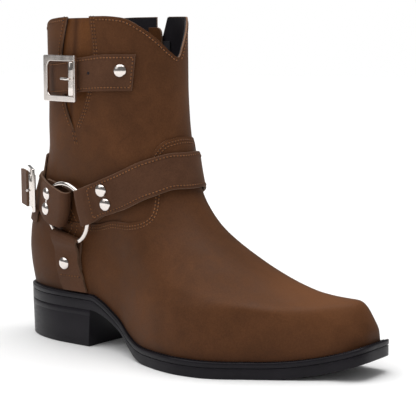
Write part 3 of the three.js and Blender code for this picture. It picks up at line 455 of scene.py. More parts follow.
class Skin:
    """The upper's surface as a smoothed grid, from which every piece takes its place."""

    def __init__(self):
        turns = np.arange(SKIN_TURNS) / SKIN_TURNS
        sections = np.linspace(0, TOP_SECTION, SKIN_ROWS)
        points = upper_point(turns[:, None], sections[None, :])
        hold = np.clip(sections / 0.5, 0, 1)[None, :, None]
        for _ in range(SKIN_SMOOTHING):
            around = (np.roll(points, 1, 0) + np.roll(points, -1, 0)) / 2
            along = points.copy()
            along[:, 1:-1] = (points[:, :-2] + points[:, 2:]) / 2
            points = points + hold * 0.5 * ((around + along) / 2 - points)
        self.points = points
        self.normals = self.normals_of(points)
        self.crease(turns, sections)

    def normals_of(self, points):
        around = np.roll(points, -1, 0) - np.roll(points, 1, 0)
        rise = np.gradient(points, axis=1)
        normal = np.cross(around, rise)
        return normal / np.maximum(np.linalg.norm(normal, axis=-1, keepdims=True), 1e-12)

    def crease(self, turns, sections):
        """Soft troughs and ridges, each along a line from one place on the upper to another."""
        push = np.zeros(self.points.shape[:2])
        for fold in CREASES:
            line = np.linspace(0, 1, 24)
            turn = fold["fromTurn"] + (fold["toTurn"] - fold["fromTurn"]) * line
            section = fold["fromSection"] + (fold["toSection"] - fold["fromSection"]) * line
            section = section + fold["bow"] * 4 * line * (1 - line)
            spots = self.at(turn, section, 0)
            flat = self.points.reshape(-1, 1, 3)
            near = np.full(flat.shape[0], 1e9)
            best = np.zeros(flat.shape[0])
            for k, spot in enumerate(spots):
                distance = np.linalg.norm(flat[:, 0] - spot, axis=-1)
                closer = distance < near
                near = np.where(closer, distance, near)
                best = np.where(closer, line[k], best)
            width = fold["width"] * MM
            fade = np.sin(math.pi * np.clip(best * 0.9 + 0.05, 0, 1))
            shape = np.exp(-((near / width) ** 2)) * fade
            push += (fold["height"] * MM * shape).reshape(push.shape)
        if CREASES:
            self.points = self.points + push[..., None] * self.normals
            self.normals = self.normals_of(self.points)

    def read(self, grid, turn, section):
        turn, section = np.broadcast_arrays(turn, section)
        u = np.mod(turn, 1.0) * SKIN_TURNS
        v = np.clip(section / TOP_SECTION, 0, 1) * (SKIN_ROWS - 1)
        i0 = np.floor(u).astype(int) % SKIN_TURNS
        j0 = np.minimum(np.floor(v).astype(int), SKIN_ROWS - 2)
        fu, fv = (u - np.floor(u))[..., None], (v - j0)[..., None]
        i1 = (i0 + 1) % SKIN_TURNS
        low = grid[i0, j0] * (1 - fu) + grid[i1, j0] * fu
        high = grid[i0, j0 + 1] * (1 - fu) + grid[i1, j0 + 1] * fu
        return low * (1 - fv) + high * fv

    def normal(self, turn, section):
        normal = self.read(self.normals, turn, section)
        return normal / np.linalg.norm(normal, axis=-1, keepdims=True)

    def at(self, turn, section, lift):
        lift = np.asarray(lift, dtype=float)
        return self.read(self.points, turn, section) + self.normal(turn, section) * lift[..., None]


SKIN = []


def skin():
    if not SKIN:
        SKIN.append(Skin())
    return SKIN[0]


def section_at(turn, height):
    """The section at which the upper reaches a height."""
    low = np.zeros_like(turn)
    high = np.full_like(turn, TOP_SECTION)
    for _ in range(22):
        middle = (low + high) / 2
        under = skin().at(turn, middle, 0)[..., 2] < height
        low = np.where(under, middle, low)
        high = np.where(under, high, middle)
    return (low + high) / 2


def collar_section(turn):
    return section_at(turn, round_curve(COLLAR, "up", turn) * sizes().shaft_height)


def overlay_section(turn):
    return round_curve(OVERLAY_EDGE, "section", turn)


def turn_at(section, place):
    """Turn on the inner side at which a section reaches a distance from the heel's back."""
    back = curve(SECTIONS, "index", "back", section) * sizes().length
    front = curve(SECTIONS, "index", "front", section) * sizes().length
    share = np.clip((place - back) / (front - back), 0, 1)
    return 1 - np.arccos(1 - 2 * share) / (2 * math.pi)


ZIP = {"foot": 2.6, "slider": 12.1, "spread": 12.35, "flare": 11 * MM, "slot": 7 * MM}
GUSSET_FOOT = GUSSET[0]["section"]
# Columns round the upper that run along the gusset, along the zip, and straight up between them
KNOTS = {"start": 0.215, "end": 0.255, "calm": 0.34, "level": 0.66, "front": 0.735, "back": 0.755}


def slot_edges(section):
    """Turns of the zip slot's front and back edge."""
    half = ZIP["slot"] / 2
    front = half + ZIP["flare"] * np.maximum(section - ZIP["spread"], 0)
    place = sizes().zip_place
    low = np.maximum(section, ZIP["foot"])
    return turn_at(low, place + front), turn_at(low, place - half)


def around(u, section):
    """Turn for a share of the columns, with columns along the gusset's and the zip's edges."""
    gusset = np.maximum(section, GUSSET_FOOT)
    start = curve(GUSSET, "section", "start", gusset)
    end = curve(GUSSET, "section", "end", gusset)
    slot_front, slot_back = slot_edges(section)
    calm, level = np.full_like(u, KNOTS["calm"]), np.full_like(u, KNOTS["level"])
    turns = [np.zeros_like(u), start, end, calm, level, slot_front, slot_back, np.ones_like(u)]
    knots = [0.0, *KNOTS.values(), 1.0]
    turn = np.zeros_like(u)
    for k in range(len(knots) - 1):
        f = (u - knots[k]) / (knots[k + 1] - knots[k])
        inside = (u >= knots[k]) & (u <= knots[k + 1])
        turn = np.where(inside, turns[k] + (turns[k + 1] - turns[k]) * f, turn)
    return turn


def settle(u, v, low, high):
    """Turn and section for shares of columns and rows between two edges that depend on the turn."""
    section = 5.0 + 8.0 * v
    turn = around(u, section)
    for _ in range(8):
        turn = around(u, section)
        section = (section + low(turn) + (high(turn) - low(turn)) * v) / 2
    turn = around(u, section)
    return turn, low(turn) + (high(turn) - low(turn)) * v


def in_slot(u, section):
    return (u > KNOTS["front"]) & (u < KNOTS["back"]) & (section > ZIP["foot"])


def in_gusset(u, section):
    return (u > KNOTS["start"]) & (u < KNOTS["end"]) & (section > GUSSET_FOOT)


# Meshes
def smooth(mesh):
    mesh.polygons.foreach_set("use_smooth", np.ones(len(mesh.polygons), dtype=bool))
    mesh.update()


def object_of(name, bm, material):
    mesh = bpy.data.meshes.new(name)
    bm.to_mesh(mesh)
    bm.free()
    smooth(mesh)
    obj = bpy.data.objects.new(name, mesh)
    bpy.context.scene.collection.objects.link(obj)
    for one in material if isinstance(material, (list, tuple)) else [material]:
        mesh.materials.append(one)
    return obj


def sheet_mesh(columns, rows, place, drop=None, flip=False):
    """A grid laid out by a function of its two shares; drop says which faces are left out."""
    bm = bmesh.new()
    bmesh.ops.create_grid(bm, x_segments=columns, y_segments=rows, size=0.5)
    shares = np.array([vert.co[:2] for vert in bm.verts]) + 0.5
    placed = place(shares[:, 0], shares[:, 1])
    if drop is not None:
        centres = np.array([face.calc_center_median()[:2] for face in bm.faces]) + 0.5
        gone = drop(centres[:, 0], centres[:, 1])
        lost = [face for face, away in zip(bm.faces, gone) if away]
    for vert, point in zip(bm.verts, placed):
        vert.co = point
    if drop is not None:
        bmesh.ops.delete(bm, geom=lost, context="FACES")
    bmesh.ops.remove_doubles(bm, verts=bm.verts, dist=1e-6)
    if flip:
        bmesh.ops.reverse_faces(bm, faces=bm.faces)
    return bm


def thicken(obj, thickness, offset, rim=0, inside=0, bevel=0.4 * MM, segments=2):
    """Gives a sheet its thickness, a rim of another material and soft edges."""
    wall = obj.modifiers.new("Wall", "SOLIDIFY")
    wall.thickness = thickness
    wall.offset = offset
    wall.use_even_offset = True
    wall.material_offset_rim = rim
    wall.material_offset = inside
    if bevel:
        soften(obj, bevel, segments)


def soften(obj, width, segments=2, angle=50):
    edge = obj.modifiers.new("Edges", "BEVEL")
    edge.width = width
    edge.segments = segments
    edge.limit_method = "ANGLE"
    edge.angle_limit = math.radians(angle)
    edge.harden_normals = True


def hand_in(obj, slot, *nodes, body=BODY):
    """Says which body a piece rides on, which nodes it stands for and whose finish it has."""
    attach(obj, body)
    if nodes:
        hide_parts(*nodes)
    return obj


def stand(turn, section, lift):
    """A frame on the upper: x along the turn, y up the section, z outward."""
    turn, section = np.array([turn], dtype=float), np.array([section], dtype=float)
    out = Vector(skin().normal(turn, section)[0])
    step = 0.004
    along = Vector(skin().at(turn + step, section, 0)[0] - skin().at(turn - step, section, 0)[0])
    up = out.cross(along).normalized()
    along = up.cross(out)
    place = Matrix((along, up, out)).transposed().to_4x4()
    place.translation = Vector(skin().at(turn, section, lift)[0])
    return place


# Materials
def links(material):
    material.use_nodes = True
    tree = material.node_tree
    tree.nodes.clear()
    out = tree.nodes.new("ShaderNodeOutputMaterial")
    shader = tree.nodes.new("ShaderNodeBsdfPrincipled")
    tree.links.new(shader.outputs["BSDF"], out.inputs["Surface"])
    return tree, shader


def place_of(tree, scale=(1, 1, 1)):
    """Object coordinates, stretched where a pattern runs one way."""
    source = tree.nodes.new("ShaderNodeTexCoord").outputs["Object"]
    if scale == (1, 1, 1):
        return source
    mapping = tree.nodes.new("ShaderNodeMapping")
    mapping.inputs["Scale"].default_value = scale
    tree.links.new(source, mapping.inputs["Vector"])
    return mapping.outputs["Vector"]


def noise(tree, place, scale, detail=3.0, roughness=0.5, distortion=0.0):
    node = tree.nodes.new("ShaderNodeTexNoise")
    node.inputs["Scale"].default_value = scale
    node.inputs["Detail"].default_value = detail
    node.inputs["Roughness"].default_value = roughness
    node.inputs["Distortion"].default_value = distortion
    tree.links.new(place, node.inputs["Vector"])
    return node.outputs["Fac"]


def cells(tree, place, scale, feature="F1"):
    node = tree.nodes.new("ShaderNodeTexVoronoi")
    node.feature = feature
    node.inputs["Scale"].default_value = scale
    tree.links.new(place, node.inputs["Vector"])
    return node.outputs["Distance"]


def ramp(tree, source, *stops):
    """A colour ramp of (place, colour) stops."""
    node = tree.nodes.new("ShaderNodeValToRGB")
    while len(node.color_ramp.elements) < len(stops):
        node.color_ramp.elements.new(0.5)
    for element, (place, colour) in zip(node.color_ramp.elements, stops):
        element.position = place
        element.color = (*colour, 1)
    tree.links.new(source, node.inputs["Fac"])
    return node.outputs["Color"]


def spread(tree, source, low, high, start=0.0, end=1.0):
    node = tree.nodes.new("ShaderNodeMapRange")
    node.inputs["From Min"].default_value = start
    node.inputs["From Max"].default_value = end
    node.inputs["To Min"].default_value = low
    node.inputs["To Max"].default_value = high
    tree.links.new(source, node.inputs["Value"])
    return node.outputs["Result"]


def blended(tree, kind, factor, first, second):
    node = tree.nodes.new("ShaderNodeMix")
    node.data_type = "RGBA"
    node.blend_type = kind
    if isinstance(factor, float):
        node.inputs["Factor"].default_value = factor
    else:
        tree.links.new(factor, node.inputs["Factor"])
    for socket, given in ((node.inputs["A"], first), (node.inputs["B"], second)):
        if isinstance(given, tuple):
            socket.default_value = (*given, 1)
        else:
            tree.links.new(given, socket)
    return node.outputs["Result"]


def bumps(tree, shader, *layers):
    """Bump layers of (height, strength, distance), each on top of the last."""
    normal = None
    for height, strength, distance in layers:
        node = tree.nodes.new("ShaderNodeBump")
        node.inputs["Strength"].default_value = strength
        node.inputs["Distance"].default_value = distance
        tree.links.new(height, node.inputs["Height"])
        if normal is not None:
            tree.links.new(normal, node.inputs["Normal"])
        normal = node.outputs["Normal"]
    tree.links.new(normal, shader.inputs["Normal"])


def tint(colour, factor):
    return tuple(min(channel * factor, 1.0) for channel in colour)


def leather(name, colour, warm, rough=0.56, sheen=0.03, grain=1.0):
    """Oiled, brushed leather: soft clouds of tone, fine nap and small pores."""
    material = bpy.data.materials.new(name)
    tree, shader = links(material)
    place = place_of(tree)
    clouds = noise(tree, place, 14, detail=3, roughness=0.55, distortion=0.5)
    tone = ramp(tree, clouds, (0.34, tint(colour, 0.86)), (0.52, tuple(colour)), (0.68, warm))
    rub = noise(tree, place, 70, detail=7, roughness=0.65, distortion=0.8)
    rubbed = ramp(tree, rub, (0.34, (0.74, 0.72, 0.70)), (0.62, (1.0, 1.0, 1.0)))
    tone = blended(tree, "MULTIPLY", 0.6, tone, rubbed)
    nap = noise(tree, place, 900, detail=4, roughness=0.7)
    fuzz = ramp(tree, nap, (0.38, (0.68, 0.68, 0.68)), (0.60, (1.0, 1.0, 1.0)))
    tone = blended(tree, "MULTIPLY", 0.6, tone, fuzz)
    # Painted shade: the leather is multiplied toward a grey brown as far as the per-vertex shade value says
    painted_shade = tree.nodes.new("ShaderNodeAttribute")
    painted_shade.attribute_name = "painted_shade"
    tone = blended(tree, "MULTIPLY", painted_shade.outputs["Fac"], tone, (0.42, 0.38, 0.36))
    # Painted highlight: the leather is mixed toward a lighter warm brown as far as the per-vertex highlight value
    # says
    painted_highlight = tree.nodes.new("ShaderNodeAttribute")
    painted_highlight.attribute_name = "painted_highlight"
    tone = blended(tree, "MIX", painted_highlight.outputs["Fac"], tone, tint(warm, 1.5))
    tree.links.new(tone, shader.inputs["Base Color"])
    tree.links.new(spread(tree, rub, rough - 0.07, rough + 0.09, 0.3, 0.7), shader.inputs["Roughness"])
    shader.inputs["Sheen Weight"].default_value = sheen
    shader.inputs["Sheen Roughness"].default_value = 0.45
    shader.inputs["Sheen Tint"].default_value = (0.90, 0.62, 0.44, 1)
    shader.inputs["Specular IOR Level"].default_value = 0.09
    pores = cells(tree, place, 1150)
    bumps(
        tree,
        shader,
        (clouds, 0.25, 1.2 * MM),
        (pores, 0.22 * grain, 0.10 * MM),
        (nap, 0.35 * grain, 0.09 * MM),
    )
    return material


def raw_edge(name, colour):
    """The cut edge of leather: pale fibres with darker gaps."""
    material = bpy.data.materials.new(name)
    tree, shader = links(material)
    place = place_of(tree)
    fibre = noise(tree, place, 1400, detail=4, roughness=0.7, distortion=1.0)
    patch = noise(tree, place, 120, detail=3)
    tone = ramp(tree, fibre, (0.32, tint(colour, 0.45)), (0.55, tuple(colour)), (0.78, tint(colour, 1.35)))
    tone = blended(tree, "MULTIPLY", 0.6, tone, ramp(tree, patch, (0.3, (0.6, 0.58, 0.56)), (0.7, (1.1, 1.1, 1.1))))
    tree.links.new(tone, shader.inputs["Base Color"])
    shader.inputs["Roughness"].default_value = 0.85
    bumps(tree, shader, (fibre, 0.8, 0.25 * MM))
    return material


def thread(name, colour):
    material = bpy.data.materials.new(name)
    tree, shader = links(material)
    place = place_of(tree)
    twist = noise(tree, place, 2600, detail=2)
    shade = noise(tree, place, 60, detail=2)
    tone = ramp(tree, shade, (0.3, tint(colour, 0.7)), (0.7, tint(colour, 1.2)))
    tree.links.new(tone, shader.inputs["Base Color"])
    shader.inputs["Roughness"].default_value = 0.7
    shader.inputs["Specular IOR Level"].default_value = 0.1
    bumps(tree, shader, (twist, 0.6, 0.08 * MM))
    return material


def black_rubber(name, colour):
    """Satin black edge finish, with faint scuffs along the sole."""
    material = bpy.data.materials.new(name)
    tree, shader = links(material)
    place = place_of(tree)
    scuff = noise(tree, place_of(tree, (1, 1, 6)), 160, detail=6, roughness=0.7, distortion=0.6)
    cloud = noise(tree, place, 40, detail=3)
    tone = ramp(tree, cloud, (0.3, tint(colour, 0.85)), (0.7, tint(colour, 1.3)))
    tone = blended(tree, "ADD", 0.35, tone, ramp(tree, scuff, (0.55, (0, 0, 0)), (0.85, (0.02, 0.019, 0.018))))
    tree.links.new(tone, shader.inputs["Base Color"])
    tree.links.new(spread(tree, scuff, 0.30, 0.48, 0.35, 0.7), shader.inputs["Roughness"])
    shader.inputs["Specular IOR Level"].default_value = 0.17
    fine = noise(tree, place, 1500, detail=3)
    bumps(tree, shader, (fine, 0.18, 0.06 * MM), (scuff, 0.15, 0.08 * MM))
    return material


def lining_leather(name, colour):
    material = bpy.data.materials.new(name)
    tree, shader = links(material)
    place = place_of(tree)
    cloud = noise(tree, place, 30, detail=3)
    tree.links.new(ramp(tree, cloud, (0.3, tint(colour, 0.8)), (0.7, tint(colour, 1.5))), shader.inputs["Base Color"])
    shader.inputs["Roughness"].default_value = 0.45
    shader.inputs["Specular IOR Level"].default_value = 0.2
    bumps(tree, shader, (cells(tree, place, 900), 0.3, 0.12 * MM))
    return material


def woven(name, colour):
    """Black zip tape: a close diagonal weave."""
    material = bpy.data.materials.new(name)
    tree, shader = links(material)
    wave = tree.nodes.new("ShaderNodeTexWave")
    wave.bands_direction = "DIAGONAL"
    wave.inputs["Scale"].default_value = 420
    wave.inputs["Distortion"].default_value = 0.6
    tree.links.new(place_of(tree), wave.inputs["Vector"])
    tone = ramp(tree, wave.outputs["Fac"], (0.2, tint(colour, 0.6)), (0.8, tint(colour, 2.0)))
    tree.links.new(tone, shader.inputs["Base Color"])
    shader.inputs["Roughness"].default_value = 0.9
    bumps(tree, shader, (wave.outputs["Fac"], 0.6, 0.15 * MM))
    return material


def polished_steel(name, colour):
    material = bpy.data.materials.new(name)
    tree, shader = links(material)
    place = place_of(tree)
    smear = noise(tree, place, 140, detail=4)
    tree.links.new(ramp(tree, smear, (0.3, tint(colour, 0.93)), (0.7, tuple(colour))), shader.inputs["Base Color"])
    tree.links.new(spread(tree, smear, 0.10, 0.20, 0.3, 0.7), shader.inputs["Roughness"])
    shader.inputs["Metallic"].default_value = 1
    bumps(tree, shader, (noise(tree, place, 500, detail=2), 0.01, 0.05 * MM))
    return material


def finishes():
    """Each of the boot's finishes, made once."""
    kit = colours()
    made = bpy.data.materials
    makers = {
        "upper_leather": lambda name: leather(name, kit.leather, tint(kit.leather, 1.2)),
        "gusset_leather": lambda name: leather(name, kit.gusset, tint(kit.gusset, 1.25), rough=0.5),
        "harness_leather": lambda name: leather(name, kit.strap, tint(kit.strap, 1.2), rough=0.58, sheen=0.04),
        "cut_edge": lambda name: raw_edge(name, kit.edge),
        "strap_edge": lambda name: raw_edge(name, tint(kit.edge, 0.8)),
        "thread": lambda name: thread(name, kit.thread),
        "sole_black": lambda name: black_rubber(name, kit.sole),
        "black_lining": lambda name: lining_leather(name, kit.lining),
        "tape_weave": lambda name: woven(name, kit.lining),
        "bright_steel": lambda name: polished_steel(name, kit.steel),
    }
    return {key: made.get(key) or make(key) for key, make in makers.items()}


# Sole
def plate(name, columns, rows, height, material, ring=False):
    """A body of loops round the foot. rows give each loop's inset, its reach and its height."""
    count = len(rows)

    def place(u, v):
        at = v * count if ring else v * (count - 1)
        row = np.mod(np.round(at).astype(int), count)
        inset = np.array([r["inset"] for r in rows])[row] * MM
        reach = np.array([r["reach"] for r in rows])[row]
        x, y = outline(u, inset, reach)
        return from_heel(x, y, height(x, row))

    segments = count if ring else count - 1
    bm = sheet_mesh(columns, segments, place)
    bmesh.ops.recalc_face_normals(bm, faces=bm.faces)
    return object_of(name, bm, material)


def heights(rows, low, high):
    part = np.array([r["part"] for r in rows])
    up = np.array([r["up"] for r in rows]) * MM

    def height(x, row):
        return low(x) + part[row] * (high(x) - low(x)) + up[row]

    return height


PLATE = "inset reach part up"
OUTSOLE_ROWS = table(
    PLATE,
    (0.6, 0.0, 0, 0.0),
    (0.6, 0.5, 0, 0.0),
    (0.6, 0.96, 0, 0.0),
    (0.6, 1.0, 0, 0.0),
    (0.4, 1.0, 0, 0.06),
    (0.25, 1.0, 0, 0.2),
    (0.2, 1.0, 0, 0.5),
    (0.2, 1.0, 0.5, 0.0),
    (0.2, 1.0, 1, -0.5),
    (0.25, 1.0, 1, -0.35),
    (0.5, 1.0, 1, -0.3),
    (1.4, 1.0, 1, -0.3),
    (1.4, 0.9, 1, -0.3),
    (1.4, 0.0, 1, -0.3),
)
WELT_ROWS = table(
    PLATE,
    (13, 1, 0, 0.0),
    (0.5, 1, 0, 0.0),
    (0.25, 1, 0, 0.06),
    (0.12, 1, 0, 0.3),
    (0.0, 1, 0.5, 0.0),
    (0.05, 1, 1, -0.8),
    (0.35, 1, 1, -0.25),
    (0.9, 1, 1, 0.0),
    (1.7, 1, 1, 0.05),
    (2.4, 1, 1, -0.15),
    (3.1, 1, 1, 0.0),
    (13, 1, 1, 0.0),
)
INSOLE_ROWS = table(
    PLATE,
    (8.3, 0.0, 1, 0.35),
    (8.3, 1.0, 1, 0.35),
    (8.3, 1.0, 1, 2.7),
    (8.6, 1.0, 1, 3.1),
    (9.2, 1.0, 1, 3.3),
    (9.2, 0.9, 1, 3.3),
    (9.2, 0.5, 1, 3.2),
    (9.2, 0.0, 1, 3.2),
)
HEEL_ROWS = table(
    "inset up reach",
    (1.8, 0.0, 0),
    (1.8, 0.0, 1),
    (1.2, 0.15, 1),
    (0.8, 0.7, 1),
    (0.72, 6.0, 1),
    (0.3, 24.2, 1),
    (0.36, 24.4, 1),
    (0.3, 24.6, 1),
    (0.2, 28.8, 1),
    (0.3, 28.9, 1),
    (0.3, 28.9, 0),
)
SOLE_COLUMNS = 360


class BOOT_OT_sole(bpy.types.Operator):
    """Builds the outsole, the welt with its stitching, the heel and the insole"""

    bl_idname = "boot.sole"
    bl_label = "Sole"

    def execute(self, context):
        kit = finishes()
        black = kit["sole_black"]
        outsole = plate("outsole_black", SOLE_COLUMNS, OUTSOLE_ROWS, heights(OUTSOLE_ROWS, sole_under, sole_over), black)
        hand_in(outsole, "sole_rubber", "outsole")
        welt = plate("welt_black", SOLE_COLUMNS, WELT_ROWS, heights(WELT_ROWS, sole_over, welt_top), black, ring=True)
        hand_in(welt, "sole_rubber", "welt")
        footbed = plate("footbed", 240, INSOLE_ROWS, heights(INSOLE_ROWS, sole_over, welt_top), kit["black_lining"])
        hand_in(footbed, "footbed", "insole")
        hand_in(self.heel(black), "sole_rubber", "heel")
        hand_in(self.welt_stitches(black), "sole_rubber")
        return {"FINISHED"}

    def heel(self, black):
        inset = np.array([row["inset"] for row in HEEL_ROWS]) * MM
        up = np.array([row["up"] for row in HEEL_ROWS]) * MM
        reach = np.array([row["reach"] for row in HEEL_ROWS])
        length = sizes().heel_length
        breast_lean = 2.5 * MM

        def place(u, v):
            row = np.round(v * (len(HEEL_ROWS) - 1)).astype(int)
            share = (1 - np.cos(2 * math.pi * u)) / 2
            lean = breast_lean * (1 - up[row] / sizes().heel_height)
            x = inset[row] + (length - lean - inset[row]) * share
            wide = opening((x - inset[row]) / (HEEL_CURVE["share"] * sizes().length), HEEL_CURVE["round"])
            side = np.where(u < 0.5, -1, 1)
            y = side * (sole_half(x) - inset[row]) * wide * reach[row]
            return from_heel(x, y, up[row])

        bm = sheet_mesh(241, len(HEEL_ROWS) - 1, place)
        bmesh.ops.recalc_face_normals(bm, faces=bm.faces)
        obj = object_of("heel_block", bm, black)
        soften(obj, 0.7 * MM, 2, 60)
        return obj

    def welt_stitches(self, black):
        turns = np.linspace(0, 1, 1400)
        x, y = outline(turns, 2.9 * MM)
        points = from_heel(x, y, welt_top(x) + 0.1 * MM)
        out = np.zeros_like(points)
        out[:, 2] = 1
        return stitches("welt_stitches", [(points, out)], black, pitch=3.1 * MM, length=2.5 * MM, radius=0.62 * MM)


# Upper
def painted_shade(obj, amount):
    """Writes a value from 0 to 1 at each vertex: how much painted shade darkens the leather there."""
    layer = obj.data.attributes.new("painted_shade", "FLOAT", "POINT")
    layer.data.foreach_set("value", np.clip(amount, 0, 1))


def paint_highlight(obj, amount):
    """The same for how far the leather is lightened by a painted highlight."""
    layer = obj.data.attributes.new("painted_highlight", "FLOAT", "POINT")
    layer.data.foreach_set("value", np.clip(amount, 0, 1))


def vertex_places(obj):
    places = np.empty(len(obj.data.vertices) * 3)
    obj.data.vertices.foreach_get("co", places)
    return places.reshape(-1, 3)


SHAFT_LEATHER = 1.4 * MM
# Where the toe top gets its painted highlight, and how far that reaches
TOE_HIGHLIGHT_CENTRE = np.array((0.222, 0.008, 0.060))
TOE_HIGHLIGHT_SPREAD = np.array((0.045, 0.032, 0.022))
UPPER_COLUMNS = 320
# The painted shadow of a soft fold down the gusset
GUSSET_FOLD_SHADOW = {"x": 39 * MM, "z": 235 * MM, "lean": 0.12, "width": 2.8 * MM}


class BOOT_OT_upper(bpy.types.Operator):
    """Builds the shaft, the vamp and counter over it, the gusset and the lining"""

    bl_idname = "boot.upper"
    bl_label = "Upper"

    def execute(self, context):
        kit = finishes()
        hand_in(self.shaft(kit), "boot_leather", "upper")
        hand_in(self.overlay(kit), "boot_leather")
        hand_in(self.lining(kit), "footbed")
        hand_in(self.gusset(kit), "boot_leather", "gusset")
        return {"FINISHED"}

    def shaft(self, kit):
        tuck = 0.3

        def low(turn):
            return overlay_section(turn) - tuck

        def place(u, v):
            turn, section = settle(u, v, low, collar_section)
            return skin().at(turn, section, 0)

        def drop(u, v):
            _, section = settle(u, v, low, collar_section)
            return in_slot(u, section) | in_gusset(u, section)

        obj = object_of("shaft", sheet_mesh(UPPER_COLUMNS, 72, place, drop), [kit["upper_leather"], kit["cut_edge"]])
        painted_shade(obj, np.zeros(len(obj.data.vertices)))
        thicken(obj, SHAFT_LEATHER, -1, rim=1)
        return obj

    def overlay(self, kit):
        def low(turn):
            return np.zeros_like(turn)

        def place(u, v):
            turn, section = settle(u, v, low, overlay_section)
            points = skin().at(turn, section, sizes().overlay)
            floor = welt_top(points[:, 0] + sizes().heel_length / 2) + SEAM_GAP
            points[:, 2] = np.where(v < 0.002, floor, np.maximum(points[:, 2], floor))
            return points

        def drop(u, v):
            _, section = settle(u, v, low, overlay_section)
            return in_slot(u, section)

        obj = object_of("vamp_and_counter", sheet_mesh(UPPER_COLUMNS, 88, place, drop), [kit["upper_leather"], kit["cut_edge"]])
        places = vertex_places(obj)
        above = places[:, 2] - welt_top(places[:, 0] + sizes().heel_length / 2)
        # Painted shade: the vamp and counter darken toward the welt, most in the last few millimetres
        painted_shade(obj, 0.60 * np.exp(-above / (4 * MM)) + 0.30 * np.exp(-above / (16 * MM)))
        # Painted highlight: a soft lighter spot on the top of the toe
        paint_highlight(obj, 0.55 * np.exp(-(np.linalg.norm((places - TOE_HIGHLIGHT_CENTRE) / TOE_HIGHLIGHT_SPREAD, axis=1) ** 2)))
        thicken(obj, sizes().overlay, -1, rim=1)
        return obj

    def lining(self, kit):
        gap = 0.1 * MM

        def low(turn):
            return np.full_like(turn, 0.35)

        def place(u, v):
            turn, section = settle(u, v, low, collar_section)
            return skin().at(turn, section - 0.02, -SHAFT_LEATHER - gap)

        def drop(u, v):
            _, section = settle(u, v, low, collar_section)
            return in_slot(u, section) | in_gusset(u, section)

        obj = object_of("lining", sheet_mesh(200, 90, place, drop), kit["black_lining"])
        thicken(obj, sizes().wall - SHAFT_LEATHER - gap, -1, bevel=0.25 * MM)
        return obj

    def gusset(self, kit):
        seam = 0.018
        foot = GUSSET_FOOT - 0.3
        depth = sizes().wall + 0.2 * MM

        def place(u, v):
            section = foot + (TOP_SECTION - foot) * v
            start = curve(GUSSET, "section", "start", section) - seam
            end = curve(GUSSET, "section", "end", section) + seam
            turn = start + (end - start) * u
            top = collar_section(turn) - 0.04
            section = foot + (top - foot) * v
            start = curve(GUSSET, "section", "start", section) - seam
            end = curve(GUSSET, "section", "end", section) + seam
            turn = start + (end - start) * u
            swell = np.sin(math.pi * np.clip(u * 1.3 - 0.15, 0, 1)) ** 2
            fold = 0.35 * np.sin(9 * u + 2.2 * v) + 0.25 * np.sin(17 * u - 5 * v + 1.0)
            lift = -depth + (1.2 + 0.5 * fold) * MM * swell
            return skin().at(turn, section, lift)

        obj = object_of("gusset_panel", sheet_mesh(48, 90, place), [kit["gusset_leather"], kit["black_lining"]])
        places = vertex_places(obj)
        fold = np.abs(places[:, 0] - GUSSET_FOLD_SHADOW["x"] - GUSSET_FOLD_SHADOW["lean"] * (places[:, 2] - GUSSET_FOLD_SHADOW["z"]))
        # Painted shadow: a dark band along a slanted line down the gusset
        painted_shade(obj, 0.80 * np.exp(-((fold / GUSSET_FOLD_SHADOW["width"]) ** 2)))
        thicken(obj, 1.2 * MM, -1, rim=0, inside=1)
        return obj


